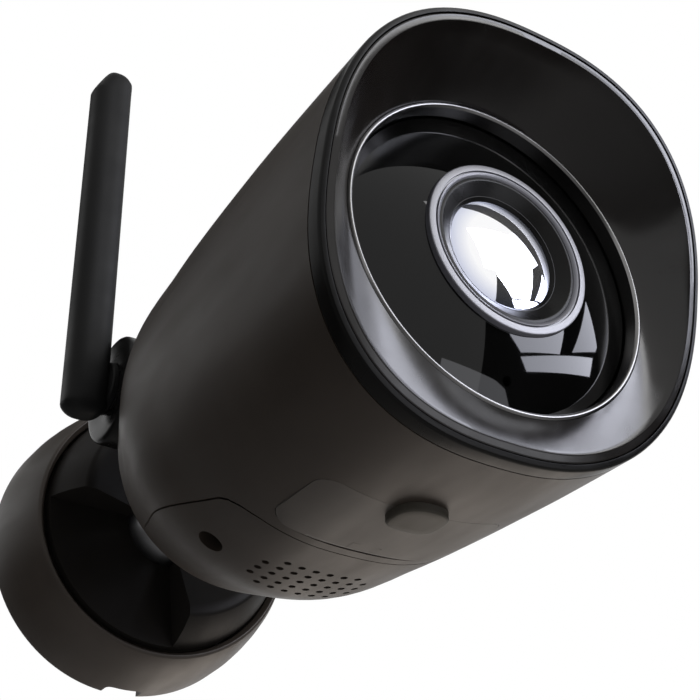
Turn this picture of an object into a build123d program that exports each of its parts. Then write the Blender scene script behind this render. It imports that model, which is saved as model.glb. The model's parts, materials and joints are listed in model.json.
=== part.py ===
from build123d import *
import math
import os

# Frame: the wall is the plane Y 0, the camera looks along -Y, and +Z is up, all in millimetres.
# A station is a distance behind the bright ring round the dome window.
RING_OUT = 153.0
GAP = 0.3
SNUG = 0.05

# Body shell
FRONT_HALF_WIDTH = 38.5
FRONT_HALF_HEIGHT = 37.2
FRONT_POWER = 2.42
BAR_FRONT = -20.0
# Radius, station and pull-in of the turned form that trims the squarish bar
BODY_PROFILE = (
    (41.6, -24.0, 0.0), (41.3, 4.0, 0.0), (39.8, 30.0, 0.0), (38.1, 56.0, 0.0), (36.2, 74.0, 0.0),
    (32.2, 85.0, 0.2), (25.0, 100.0, 0.5), (19.4, 105.4, 0.9), (11.5, 110.0, 1.8),
)
TAIL_STATION = 110.0
WALL = 2.4
RIM_SLANT = 0.24
RIM_STATION = -6.7
TRIM_DEPTH = 3.5
TRIM_WIDTH = 1.0

# Front face
RING_RADIUS = 30.0
BEZEL_BACK = 12.0
DOME_RADIUS = 75.0
DOME_EDGE = 29.0
DOME_EDGE_STATION = 3.0
DOME_WALL = 2.0
LENS_RING_RADIUS = 16.2
LENS_RING_BORE = 13.9
LENS_RADIUS = 10.3
LENS_SWELL = 30.4
MIC_DROP = 24.0

# Card door under the belly
DOOR_HALF_WIDTH = 18.5
DOOR_FRONT = 26.0
DOOR_REAR = 45.3
DOOR_CORNER = 4.0
TAB_THICK = 1.5
DOOR_SKIN = 0.9
DOOR_REBATE = 0.6
DOOR_EDGE_ROUND = 1.6
HINGE_STATION = 43.7
HINGE_HEIGHT = -36.2
HINGE_PIN_RADIUS = 0.5
KNUCKLE_RADIUS = 1.4
KNUCKLE_WIDTH = 2.6
KNUCKLE_HALF_WIDTH = 5.5
LUG_RADIUS = 0.95
LUG_HALF_WIDTH = 2.6
LUG_FRONT = 41.9
LUG_REAR = 43.3
RESET_RADIUS = 1.7
RESET_X = -10.5
RESET_STATION = 32.6

# Tail cover and speaker
COVER_FRONT = 48.0
COVER_RISE = 0.25
COVER_HEIGHT = -31.0
COVER_CORNER = 5.0
SPEAKER_STATION = 63.5
SPEAKER_RADIUS = 10.5
HOLE_PITCH = 3.0
HOLE_RADIUS = 0.7
FLANK_SCREW_STATION = 65.8
FLANK_SCREW_ANGLE = 31.0

# Antenna
ANTENNA_STATION = 92.0
ANTENNA_HEIGHT = 9.0
BOSS_RADIUS = 9.5
BOSS_FACE = -31.3
PADDLE_X = -37.8
PADDLE_WIDTH = 10.2
PADDLE_TIP_WIDTH = 9.2
PADDLE_THICK = 7.6
PADDLE_BELOW = 8.0
PADDLE_ABOVE = 84.2
PADDLE_LEAN = 1.7
PADDLE_ROUND = 2.4
HUB_RADIUS = 5.5
HUB_START = 4.0
SHAFT_RADIUS = 3.95
SHAFT_END = -16.0
BOSS_INNER = -19.5

# Wall mount
BALL_STATION = 132.5
BALL_RADIUS = 10.5
NECK_RADIUS = 6.5
STUD_RADIUS = 4.98
CABLE_RADIUS = 3.0
CUP_RIM_STATION = 130.5
CUP_RIM_RADIUS = 32.4
CUP_BACK_RADIUS = 35.5
COLLAR_RADIUS = 30.0
COLLAR_FRONT = 120.5
COLLAR_FRONT_RADIUS = 25.0
NOTCH_START = 180.0
NOTCH_END = 276.0
SEAT_BACK = 145.4
FLOOR_STATION = 146.0
FLOOR_THICK = 2.4
PLATE_FRONT = 150.5
WALL_SCREW_PCD = 48.0
WALL_SCREW_RADIUS = 2.25
SPIGOT_RADIUS = 11.0
SPIGOT_END = 149.9
SOCKET_SCREW_RING = 24.0
SOCKET_SCREW_ANGLES = (40.0, 120.0, 320.0)
CUP_SCREW_RING = 19.3
CUP_SCREW_ANGLES = (30.0, 150.0, 270.0)
WALL_SCREW_ANGLES = (90.0, 210.0, 330.0)
CABLE_NOTCH_WIDTH = 9.0
CABLE_NOTCH_DEPTH = 4.5


def at(station):
    """Y of a station."""
    return station - RING_OUT


def turned(*corners):
    """Solid of revolution about the axis, from (radius, station) corners."""
    outline = Polyline([(radius, at(station)) for radius, station in corners], close=True)
    return revolve(make_face(outline), Axis.Y)


def block(x, stations, z):
    """Box between pairs of limits."""
    size = Box(x[1] - x[0], stations[1] - stations[0], z[1] - z[0], align=(Align.MIN, Align.MIN, Align.MIN))
    return Pos(x[0], at(stations[0]), z[0]) * size


def rod_x(radius, x, station, height):
    """Round bar along X."""
    bar = Cylinder(radius, x[1] - x[0], align=(Align.CENTER, Align.CENTER, Align.MIN))
    return Pos(x[0], at(station), height) * Rot(0, 90, 0) * bar


def rod_y(radius, stations, x=0.0, z=0.0):
    """Round bar along the axis."""
    bar = Cylinder(radius, stations[1] - stations[0], align=(Align.CENTER, Align.CENTER, Align.MIN))
    return Pos(x, at(stations[0]), z) * Rot(-90, 0, 0) * bar


def rod_z(radius, z, x, station):
    """Round bar along Z."""
    bar = Cylinder(radius, z[1] - z[0], align=(Align.CENTER, Align.CENTER, Align.MIN))
    return Pos(x, at(station), z[0]) * bar


def tube_y(outer, inner, stations, x=0.0, z=0.0):
    """Round tube along the axis."""
    return rod_y(outer, stations, x, z) - rod_y(inner, stations, x, z)


def polar(radius, degrees):
    """X and Z of a point round the axis, from +X towards +Z."""
    turn = math.radians(degrees)
    return radius * math.cos(turn), radius * math.sin(turn)


def loop(half_width, half_height, power, station, slant=0.0, points=24):
    """Closed squarish curve round the axis, in a plane that leans forward at the top."""
    corners = []
    for step in range(points):
        turn = 2 * math.pi * step / points
        c = math.cos(turn)
        s = math.sin(turn)
        x = half_width * math.copysign(abs(c) ** (2 / power), c)
        z = half_height * math.copysign(abs(s) ** (2 / power), s)
        corners.append((x, at(station) - slant * z, z))
    return Spline(*corners, periodic=True)


def faces_between(loops):
    """Faces that run straight from each loop to the next."""
    return [Face.make_surface_from_curves(first.edge(), second.edge()) for first, second in zip(loops, loops[1:])]


def ring_of_loops(loops):
    """Closed ring whose faces run straight from each loop to the next."""
    return Part() + Solid(Shell(faces_between(loops + loops[:1])))


def behind(station):
    """Everything behind the leaning rim plane at a station on the axis."""
    plane = Plane((0, at(station), 0), z_dir=(0, 1, RIM_SLANT))
    return plane * Box(300, 300, 300, align=(Align.CENTER, Align.CENTER, Align.MIN))


def body_form(inset):
    """Outer form of the body, or the form a given wall inside it: a squarish bar trimmed by a turned form."""
    section = make_face(loop(FRONT_HALF_WIDTH - inset, FRONT_HALF_HEIGHT - inset, FRONT_POWER, BAR_FRONT))
    bar = extrude(section, TAIL_STATION - BAR_FRONT, dir=(0, 1, 0))
    side = Spline(
        [(radius - inset, at(station - pull * inset)) for radius, station, pull in BODY_PROFILE],
        tangents=[(0.0, 1.0), (-1.0, 0.12)],
    )
    edge = [side, Polyline(side @ 1, (0, (side @ 1).Y), (0, (side @ 0).Y), side @ 0)]
    return bar & revolve(make_face(edge), Axis.Y)


def side_prism(corners, radius):
    """Bar along X whose outline is given as (station, height) corners, with one rounded corner."""
    outline = make_face(Polyline([(0, at(s), z) for s, z in corners], close=True))
    near = (0, at(corners[0][0]), corners[0][1])
    corner = outline.vertices().sort_by_distance(near)[0]
    return extrude(fillet(corner, radius), 60, dir=(1, 0, 0), both=True)


def cover_region(grow):
    """Space of the tail cover: behind its front seam and under its rising side seam."""
    front = COVER_FRONT - grow
    top = COVER_HEIGHT + grow
    rear = TAIL_STATION + 20.0
    rise = COVER_RISE * (rear - COVER_FRONT)
    return side_prism(((front, top), (rear, top + rise), (rear, -60.0), (front, -60.0)), COVER_CORNER)


def door_region(grow):
    """Space of the card door, seen from below."""
    width = 2 * (DOOR_HALF_WIDTH + grow)
    length = DOOR_REAR - DOOR_FRONT + 2 * grow
    outline = RectangleRounded(width, length, DOOR_CORNER)
    middle = (DOOR_FRONT + DOOR_REAR) / 2
    return Pos(0, at(middle), -50.0) * extrude(outline, 30.0)


def flank_axis(side):
    """Line of a tail screw, from the outside inwards."""
    turn = math.radians(FLANK_SCREW_ANGLE)
    out = Vector(side * math.sin(turn), 0, -math.cos(turn))
    return Plane((0, at(FLANK_SCREW_STATION), 0), z_dir=out)


def flank_rod(side, radius, start, end):
    """Round bar along a tail screw's line, between two radii from the axis."""
    bar = Cylinder(radius, end - start, align=(Align.CENTER, Align.CENTER, Align.MIN))
    return flank_axis(side) * Pos(0, 0, start) * bar


def main_shell(outer, cavity):
    """Body shell with the antenna boss, less the door and the tail cover."""
    shell = (outer & behind(RIM_STATION + TRIM_DEPTH + SNUG)) - cavity
    shell -= door_region(GAP)
    shell -= cover_region(0.25)
    boss = rod_x(BOSS_RADIUS, (BOSS_FACE, BOSS_INNER), ANTENNA_STATION, ANTENNA_HEIGHT)
    root = Pos(BOSS_FACE + 3.0, at(ANTENNA_STATION), ANTENNA_HEIGHT) * Rot(0, 90, 0)
    root *= Cone(BOSS_RADIUS, BOSS_RADIUS + 5.0, 10.0, align=(Align.CENTER, Align.CENTER, Align.MIN))
    shell += (root - cavity) + boss
    shell -= rod_x(SHAFT_RADIUS + SNUG, (-40.0, -10.0), ANTENNA_STATION, ANTENNA_HEIGHT)
    shell -= rod_x(SHAFT_RADIUS + 1.7, (BOSS_FACE, BOSS_FACE + 1.8), ANTENNA_STATION, ANTENNA_HEIGHT)
    shell -= rod_y(9.1, (100.0, TAIL_STATION + 1.0))
    return shell


def tail_cover(outer, cavity):
    """Lower rear cover with the speaker holes, the screw recesses and their tubes."""
    region = cover_region(0.0)
    cover = (outer - cavity) & region
    for side in (-1, 1):
        tube = flank_rod(side, 4.2, 29.0, 36.0) & outer & region
        cover += tube
        cover -= flank_rod(side, 2.6, 31.0, 45.0)
        cover -= flank_rod(side, 1.2, 20.0, 45.0)
    for column in range(8):
        rows = range(1, 4) if column in (0, 7) else range(5)
        for row in rows:
            x = (column - 3.5) * HOLE_PITCH
            cover -= rod_z(HOLE_RADIUS, (-45.0, -25.0), x, SPEAKER_STATION + (row - 2) * HOLE_PITCH)
    return cover


def tail_seal(cavity):
    """Rubber seal inside the tail cover's seam."""
    skin = cavity - body_form(WALL + 1.0)
    band = cover_region(2.0) - cover_region(-2.0)
    clear = block((-60.0, 60.0), (40.0, 104.0), (-60.0, 0.0))
    seal = skin & band & clear
    for side in (-1, 1):
        seal -= flank_rod(side, 4.5, 20.0, 40.0)
    return seal


def front_trim_ring():
    """Black ring round the front edge."""
    inner_width = FRONT_HALF_WIDTH - TRIM_WIDTH
    inner_height = FRONT_HALF_HEIGHT - TRIM_WIDTH
    back = RIM_STATION + TRIM_DEPTH
    return ring_of_loops([
        loop(inner_width, inner_height, FRONT_POWER, RIM_STATION, RIM_SLANT),
        loop(FRONT_HALF_WIDTH - 0.4, FRONT_HALF_HEIGHT - 0.4, FRONT_POWER, RIM_STATION, RIM_SLANT),
        loop(FRONT_HALF_WIDTH, FRONT_HALF_HEIGHT, FRONT_POWER, RIM_STATION + 0.4, RIM_SLANT),
        loop(FRONT_HALF_WIDTH, FRONT_HALF_HEIGHT, FRONT_POWER, back, RIM_SLANT),
        loop(inner_width, inner_height, FRONT_POWER, back, RIM_SLANT),
    ])


def bezel_funnel():
    """Hollowed front face, deep under the top edge and nearly flat at the bottom."""
    wide = FRONT_HALF_WIDTH - TRIM_WIDTH - 0.15
    high = FRONT_HALF_HEIGHT - TRIM_WIDTH - 0.15
    spigot_wide = FRONT_HALF_WIDTH - WALL - 0.5
    spigot_high = FRONT_HALF_HEIGHT - WALL - 0.5
    bore = RING_RADIUS + 0.45
    step = RIM_STATION + TRIM_DEPTH
    return ring_of_loops([
        loop(bore, bore, 2.0, 0.0),
        loop(33.2, 32.6, 2.2, -2.4, 0.45 * RIM_SLANT),
        loop(wide - 1.2, high - 1.2, FRONT_POWER, RIM_STATION, RIM_SLANT),
        loop(wide, high, FRONT_POWER, RIM_STATION, RIM_SLANT),
        loop(wide, high, FRONT_POWER, step, RIM_SLANT),
        loop(spigot_wide, spigot_high, FRONT_POWER, step, RIM_SLANT),
        loop(spigot_wide, spigot_high, FRONT_POWER, BEZEL_BACK),
        loop(bore, bore, 2.0, BEZEL_BACK),
    ])


def bezel_ring():
    """Bright ring and the recess wall behind it."""
    outer = RING_RADIUS + 0.4
    inner = DOME_EDGE + 0.35
    return turned((inner, -0.1), (inner + 0.4, -0.5), (outer - 0.3, -0.5), (outer, -0.2), (outer, 9.9), (inner, 9.9))


def dome_centre():
    """Station of the dome window's centre of curvature."""
    return DOME_EDGE_STATION + math.sqrt(DOME_RADIUS ** 2 - DOME_EDGE ** 2)


def dome_window():
    """Dark domed window with the lens opening and a microphone hole."""
    centre = Pos(0, at(dome_centre()), 0)
    cap = centre * Sphere(DOME_RADIUS) - centre * Sphere(DOME_RADIUS - DOME_WALL)
    cap &= rod_y(DOME_EDGE + 0.2, (-10.0, 10.0))
    cap += tube_y(DOME_EDGE + 0.2, DOME_EDGE - 2.5, (DOME_EDGE_STATION, 10.0))
    cap -= rod_y(LENS_RING_RADIUS + SNUG, (-10.0, 10.0))
    return cap - rod_y(0.8, (-10.0, 12.0), 0.0, -MIC_DROP)


def lens_ring():
    """Light ring round the lens."""
    edge = LENS_RING_RADIUS
    bore = LENS_RING_BORE
    return turned((bore, -2.2), (bore + 0.4, -2.7), (edge - 0.5, -2.5), (edge, -1.9), (edge, 2.0), (bore, 2.0))


def lens_hood():
    """Cone that leads in to the lens."""
    outer = LENS_RING_BORE - SNUG
    bore = LENS_RADIUS + SNUG
    return turned((outer, -2.1), (outer, 2.0), (bore, 2.0), (bore, 0.15), (outer - 0.7, -2.1))


def front_lens():
    """Front lens, swelling forward."""
    rim = math.sqrt(LENS_SWELL ** 2 - LENS_RADIUS ** 2)
    swell = Pos(0, at(0.2 + rim), 0) * Sphere(LENS_SWELL)
    return swell & rod_y(LENS_RADIUS, (-4.0, 2.5))


def lens_barrel():
    """Tube that carries the lenses."""
    return turned((9.0, 2.6), (11.5, 2.6), (11.5, 16.0), (6.2, 16.0), (6.2, 9.0), (9.0, 9.0))


def rear_lens():
    """Small lens at the back of the barrel."""
    swell = Pos(0, at(9.4 + 12.0), 0) * Sphere(12.0)
    return swell & rod_y(6.1, (8.0, 13.0))


def lens_holder():
    """Square block that holds the barrel over the sensor."""
    return block((-13.0, 13.0), (16.1, 21.0), (-13.0, 13.0)) - rod_y(6.5, (10.0, 25.0))


def ir_cut_housing():
    """Flat case of the infrared cut filter."""
    case = block((-16.0, 16.0), (21.1, 26.0), (-8.0, 8.0))
    case -= block((-13.0, 13.0), (22.2, 24.9), (-6.0, 6.0))
    return case - rod_y(4.0, (15.0, 30.0))


def ir_filter_slider():
    """Frame that slides the two filters across the light path."""
    frame = block((-11.0, 4.0), (22.8, 24.3), (-5.0, 5.0))
    return frame - rod_y(3.4, (20.0, 30.0)) - rod_y(3.4, (20.0, 30.0), -7.0)


def image_sensor():
    """Image sensor chip."""
    return block((-5.0, 5.0), (26.6, 28.0), (-4.0, 4.0))


def sensor_board():
    """Board behind the image sensor."""
    board = block((-17.0, 17.0), (28.05, 29.3), (-15.0, 15.0))
    for x in (-14.5, 14.5):
        for z in (-12.5, 12.5):
            board -= rod_y(1.1, (27.0, 31.0), x, z)
    return board


def led_board():
    """Ring board of the infrared LEDs."""
    return tube_y(23.5, 13.0, (10.6, 11.8))


def infrared_leds():
    """LEDs round the lens, behind the dome window."""
    leds = Part()
    for step in range(6):
        x, z = polar(18.5, 60.0 * step)
        bulb = rod_y(2.5, (8.4, 10.5), x, z)
        leds += bulb + (Pos(x, at(8.4), z) * Sphere(2.5) & rod_y(2.5, (5.0, 8.5), x, z))
    return leds


def dome_gasket():
    """Rubber ring behind the dome window's edge."""
    return tube_y(DOME_EDGE + 0.2, DOME_EDGE - 2.5, (10.05, 11.9))


def front_frame():
    """Plate behind the bezel that clamps the window and carries the lens block."""
    plate = rod_y(33.5, (BEZEL_BACK + SNUG, 14.0)) - rod_y(12.0, (5.0, 20.0))
    for x in (-20.0, 20.0):
        plate += rod_y(2.5, (13.9, 31.5), x, 0.0)
    return plate


def microphone():
    """Microphone capsule behind the hole in the window."""
    return rod_y(1.5, (7.7, 9.9), 0.0, -MIC_DROP)


def chassis_frame():
    """Tray under the main board, with the posts that the tail screws bite."""
    tray = block((-26.0, 26.0), (31.6, 84.0), (-12.0, -9.8))
    tray -= block((-16.0, 16.0), (38.0, 58.0), (-15.0, -5.0))
    tray += block((-26.0, 26.0), (31.6, 33.6), (-12.0, 6.0))
    for side in (-1, 1):
        post = flank_rod(side, 2.8, 8.0, 28.6) & block((-40.0, 40.0), (50.0, 80.0), (-60.0, -9.9))
        tray += post
        tray -= flank_rod(side, 1.1, 10.0, 40.0)
    return tray


def main_board():
    """Main circuit board."""
    board = block((-25.0, 25.0), (34.5, 83.0), (-9.7, -8.1))
    for x in (-22.0, 22.0):
        for station in (38.0, 79.0):
            board -= rod_z(1.3, (-12.0, -5.0), x, station)
    return board


def board_screws():
    """Screws that hold the main board to the tray."""
    screws = Part()
    for x in (-22.0, 22.0):
        for station in (38.0, 79.0):
            screws += rod_z(2.2, (-8.05, -6.6), x, station)
            screws += rod_z(1.2, (-9.75, -8.0), x, station)
    return screws


def heat_sink():
    """Finned aluminium block on the main chip."""
    sink = block((-15.0, 15.0), (44.0, 70.0), (-8.0, -5.0))
    for fin in range(7):
        x = -14.4 + fin * 4.6
        sink += block((x, x + 1.2), (44.0, 70.0), (-5.0, 3.0))
    return sink


def speaker():
    """Small round speaker over the hole field."""
    rim = rod_z(SPEAKER_RADIUS, (-31.4, -28.5), 0.0, SPEAKER_STATION)
    return rim + rod_z(7.0, (-28.5, -23.0), 0.0, SPEAKER_STATION)


def speaker_gasket():
    """Foam ring between the speaker and the tail cover."""
    ring = rod_z(SPEAKER_RADIUS, (-32.3, -31.45), 0.0, SPEAKER_STATION)
    return ring - rod_z(SPEAKER_RADIUS - 1.8, (-33.0, -31.0), 0.0, SPEAKER_STATION)


def card_bay():
    """Floor of the pocket behind the card door, with the lug that holds the hinge pin."""
    floor = block((-15.5, 15.5), (28.5, LUG_REAR), (-30.5, -28.9))
    floor -= block((-6.2, 6.2), (32.6, 34.2), (-32.0, -27.0))
    floor += block((-LUG_HALF_WIDTH, LUG_HALF_WIDTH), (LUG_FRONT, LUG_REAR), (HINGE_HEIGHT - 0.3, -30.0))
    floor += rod_x(LUG_RADIUS, (-LUG_HALF_WIDTH, LUG_HALF_WIDTH), HINGE_STATION, HINGE_HEIGHT)
    floor -= rod_x(HINGE_PIN_RADIUS + 0.02, (-10.0, 10.0), HINGE_STATION, HINGE_HEIGHT)
    return floor - rod_z(RESET_RADIUS + SNUG, (-33.0, -27.0), RESET_X, RESET_STATION)


def card_socket():
    """Card socket over the slot in the pocket's floor."""
    case = block((-7.5, 7.5), (31.9, 34.9), (-28.85, -15.0))
    return case - block((-6.0, 6.0), (32.8, 34.0), (-30.0, -16.0))


def card_board():
    """Small board that carries the card socket and the reset switch."""
    return block((-14.0, 14.0), (35.0, 36.2), (-28.8, -14.0))


def reset_button():
    """Reset button, pressed upwards from the pocket."""
    return rod_z(RESET_RADIUS, (-32.0, -27.6), RESET_X, RESET_STATION)


def reset_switch():
    """Small switch over the reset button."""
    return block((RESET_X - 2.4, RESET_X + 2.4), (RESET_STATION - 1.8, 34.95), (-26.4, -22.5))


def card_door(outer, cavity):
    """Door that follows the belly, with a rebated edge, hinge knuckles and a rounded rear edge."""
    door = (outer - body_form(DOOR_SKIN)) & door_region(0.0)
    door += (outer - cavity) & door_region(-DOOR_REBATE)
    limit = block((-60.0, 60.0), (0.0, HINGE_STATION), (-60.0, 0.0))
    limit += rod_x(DOOR_EDGE_ROUND, (-60.0, 60.0), HINGE_STATION, HINGE_HEIGHT)
    limit += block((-60.0, 60.0), (HINGE_STATION, HINGE_STATION + DOOR_EDGE_ROUND), (HINGE_HEIGHT, 0.0))
    door &= limit
    for low in (-KNUCKLE_HALF_WIDTH, KNUCKLE_HALF_WIDTH - KNUCKLE_WIDTH):
        door += rod_x(KNUCKLE_RADIUS, (low, low + KNUCKLE_WIDTH), HINGE_STATION, HINGE_HEIGHT) & outer
    room = LUG_HALF_WIDTH + GAP
    door -= block((-room, room), (LUG_FRONT - GAP, DOOR_REAR + 1.0), (HINGE_HEIGHT - 0.3 - GAP, -20.0))
    door -= rod_x(LUG_RADIUS + GAP, (-room, room), HINGE_STATION, HINGE_HEIGHT)
    reach = KNUCKLE_HALF_WIDTH + SNUG
    return door - rod_x(HINGE_PIN_RADIUS + SNUG, (-reach, reach), HINGE_STATION, HINGE_HEIGHT)


def door_hinge_pin():
    """Pin of the card door."""
    half = KNUCKLE_HALF_WIDTH - 0.1
    return rod_x(HINGE_PIN_RADIUS, (-half, half), HINGE_STATION, HINGE_HEIGHT)


def door_seal(cavity):
    """Rubber frame on the inside of the card door, round the pocket."""
    skin = cavity - body_form(WALL + 0.8)
    outline = RectangleRounded(28.0, 12.6, 3.0) - RectangleRounded(24.4, 10.2, 2.0)
    return skin & (Pos(0, at(34.4), -50.0) * extrude(outline, 30.0))


def door_tab(outer):
    """Oval pull tab over the front edge of the card door."""
    slab = Pos(0, at(DOOR_FRONT + 0.5), -42.0) * extrude(Ellipse(5.4, 4.9), 10.0)
    proud = Pos(0, 0, -TAB_THICK) * outer
    clear = (Pos(0, 0, -GAP) * outer) & block((-10.0, 10.0), (0.0, DOOR_FRONT), (-60.0, 0.0))
    return (slab & proud) - outer - clear


def antenna_hub():
    """Hub and shaft that the antenna turns on."""
    hub = rod_x(HUB_RADIUS, (PADDLE_X + HUB_START, BOSS_FACE - 0.4), ANTENNA_STATION, ANTENNA_HEIGHT)
    shaft = rod_x(SHAFT_RADIUS, (BOSS_FACE - 0.5, SHAFT_END), ANTENNA_STATION, ANTENNA_HEIGHT)
    bore = rod_x(1.2, (-60.0, -10.0), ANTENNA_STATION, ANTENNA_HEIGHT)
    return hub + shaft - bore


def paddle_blade():
    """Flat rounded blade with a slanted tip, about its hub."""
    half = PADDLE_WIDTH / 2
    tip = PADDLE_TIP_WIDTH / 2
    top = PADDLE_ABOVE
    outline = make_face(Polyline(
        (-half, -PADDLE_BELOW), (half, -PADDLE_BELOW), (tip, top - 3.0), (tip - 3.0, top), (-0.8, top),
        (-tip, top - 6.5), close=True))
    outline = fillet(outline.vertices().sort_by(Axis.Y)[:2], half - 0.8)
    outline = fillet(outline.vertices().sort_by(Axis.Y)[-4:], 2.0)
    blade = extrude(Plane.XZ * outline, PADDLE_THICK / 2, both=True)
    faces = blade.faces().filter_by(Axis.Y)
    return fillet(faces.edges(), PADDLE_ROUND)


def place_paddle(shape):
    """Sets a piece of the antenna on its hub, leaning out a little at the top."""
    return Pos(PADDLE_X, at(ANTENNA_STATION), ANTENNA_HEIGHT) * Rot(0, -PADDLE_LEAN, 0) * shape


def antenna_paddle():
    """Antenna blade, hollow for its element and recessed over its hub."""
    slot = Pos(0, 0, 14.0) * Box(5.0, 2.6, 64.0, align=(Align.CENTER, Align.CENTER, Align.MIN))
    blade = place_paddle(paddle_blade() - slot)
    recess = (PADDLE_X + HUB_START - SNUG, BOSS_FACE)
    return blade - rod_x(HUB_RADIUS + SNUG, recess, ANTENNA_STATION, ANTENNA_HEIGHT)


def antenna_element():
    """Radiating strip inside the paddle."""
    return place_paddle(Pos(0, 0, 15.0) * Box(4.4, 1.2, 62.0, align=(Align.CENTER, Align.CENTER, Align.MIN)))


def antenna_coax():
    """Thin lead from the antenna's shaft to the main board."""
    route = FilletPolyline(
        (SHAFT_END + 0.4, at(ANTENNA_STATION), ANTENNA_HEIGHT), (-8.0, at(90.0), ANTENNA_HEIGHT),
        (-7.0, at(79.5), 3.0), (-7.0, at(78.5), -8.0), radius=3.0)
    return sweep(Plane(route @ 0, z_dir=route % 0) * Circle(0.6), route)


def antenna_clip():
    """Clip ring that keeps the antenna's shaft in the shell."""
    ring = rod_x(6.2, (BOSS_INNER + 0.4, BOSS_INNER + 1.6), ANTENNA_STATION, ANTENNA_HEIGHT)
    return ring - rod_x(SHAFT_RADIUS + 0.02, (-30.0, -10.0), ANTENNA_STATION, ANTENNA_HEIGHT)


def antenna_seal():
    """Rubber ring in the boss round the antenna's shaft."""
    ring = rod_x(SHAFT_RADIUS + 1.65, (BOSS_FACE + 0.1, BOSS_FACE + 1.75), ANTENNA_STATION, ANTENNA_HEIGHT)
    return ring - rod_x(SHAFT_RADIUS + SNUG, (-40.0, -10.0), ANTENNA_STATION, ANTENNA_HEIGHT)


def threaded_insert():
    """Brass insert in the tail that the stud screws into."""
    return tube_y(9.05, STUD_RADIUS + SNUG, (98.0, TAIL_STATION))


def cable_grommet():
    """Rubber grommet where the cable enters the body."""
    return tube_y(8.0, CABLE_RADIUS, (93.0, 96.5))


def tail_screws():
    """Screws of the tail cover, one in each flank recess."""
    screws = Part()
    for side in (-1, 1):
        screws += flank_rod(side, 2.3, 31.05, 32.8)
        screws += flank_rod(side, 1.05, 17.0, 31.1)
    return screws


def ball_stud():
    """Ball, neck and threaded stud, bored for the cable."""
    ball = Pos(0, at(BALL_STATION), 0) * Sphere(BALL_RADIUS)
    neck = turned((0, 98.5), (STUD_RADIUS, 98.5), (STUD_RADIUS, 114.0), (NECK_RADIUS, 114.5),
                  (NECK_RADIUS, 130.0), (0, 130.0))
    return ball + neck - rod_y(CABLE_RADIUS, (90.0, 160.0))


def lock_ring():
    """Lock nut on the stud, against the tail."""
    nut = tube_y(11.0, STUD_RADIUS + 0.03, (TAIL_STATION + GAP, 113.6))
    for step in range(8):
        x, z = polar(11.4, 45.0 * step)
        nut -= rod_y(1.6, (105.0, 118.0), x, z)
    return nut


def socket_dome():
    """Front half of the ball socket, cut away over one quarter so the neck can lean."""
    split = BALL_STATION - SNUG
    form = turned((8.6, split), (COLLAR_RADIUS, split), (COLLAR_RADIUS, 131.5), (28.9, 127.5),
                  (COLLAR_FRONT_RADIUS, COLLAR_FRONT), (COLLAR_FRONT_RADIUS - 2.2, COLLAR_FRONT), (8.6, 126.4))
    form -= Pos(0, at(BALL_STATION), 0) * Sphere(BALL_RADIUS + 0.06)
    low_floor = turned((0, 110.0), (40.0, 110.0), (40.0, 130.3), (26.0, 130.3), (9.0, 130.9), (0, 130.9))
    sector = CenterArc((0, 0), 45.0, NOTCH_START, NOTCH_END - NOTCH_START)
    wedge = make_face([sector, Polyline(sector @ 1, (0, 0), sector @ 0)])
    notch = Pos(0, at(105.0), 0) * Rot(90, 0, 0) * extrude(wedge, -40.0)
    return drilled_for_screws(form - (low_floor & notch))


def socket_seat():
    """Rear half of the ball socket, with the spigot that it turns on."""
    seat = turned((0, BALL_STATION), (COLLAR_RADIUS, BALL_STATION), (COLLAR_RADIUS, SEAT_BACK),
                  (SPIGOT_RADIUS, SEAT_BACK), (SPIGOT_RADIUS, SPIGOT_END), (0, SPIGOT_END))
    seat -= Pos(0, at(BALL_STATION), 0) * Sphere(BALL_RADIUS + 0.06)
    return drilled_for_screws(seat - rod_y(6.0, (BALL_STATION, RING_OUT)))


def socket_screws():
    """Screws that clamp the socket halves."""
    screws = Part()
    for degrees in SOCKET_SCREW_ANGLES:
        x, z = polar(SOCKET_SCREW_RING, degrees)
        screws += rod_y(1.3, (129.0, 144.0), x, z)
        screws += rod_y(2.4, (143.5, 145.2), x, z)
    return screws


def drilled_for_screws(half):
    """Holes in the socket halves for their screws."""
    for degrees in SOCKET_SCREW_ANGLES:
        x, z = polar(SOCKET_SCREW_RING, degrees)
        half -= rod_y(1.35, (128.9, RING_OUT), x, z)
        half -= rod_y(2.5, (143.4, RING_OUT), x, z)
    return half


def swivel_retainer():
    """Ring on the spigot that keeps the socket in the cup."""
    return tube_y(15.5, SPIGOT_RADIUS + 0.02, (FLOOR_STATION + FLOOR_THICK + 0.35, SPIGOT_END))


def friction_washer():
    """Washer that stiffens the socket's turn."""
    return tube_y(29.0, 22.5, (FLOOR_STATION - 0.3, FLOOR_STATION - 0.02))


def base_cup():
    """Outer cup of the mount, with a floor that carries the socket."""
    inner = 30.6
    cup = turned((CUP_RIM_RADIUS - 0.9, CUP_RIM_STATION), (CUP_RIM_RADIUS - 0.2, CUP_RIM_STATION + 0.3),
                 (34.2, 138.0), (35.3, 146.0), (CUP_BACK_RADIUS, RING_OUT), (33.3, RING_OUT),
                 (33.3, FLOOR_STATION + FLOOR_THICK), (SPIGOT_RADIUS + 0.06, FLOOR_STATION + FLOOR_THICK),
                 (SPIGOT_RADIUS + 0.06, FLOOR_STATION),
                 (inner, FLOOR_STATION), (inner, 132.0))
    for degrees in CUP_SCREW_ANGLES:
        x, z = polar(CUP_SCREW_RING, degrees)
        cup -= rod_y(1.55, (140.0, 150.0), x, z)
        cup -= rod_y(2.7, (140.0, FLOOR_STATION + 1.7), x, z)
    half = CABLE_NOTCH_WIDTH / 2
    return cup - block((-half, half), (RING_OUT - CABLE_NOTCH_DEPTH, RING_OUT + 1.0), (-45.0, -20.0))


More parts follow.
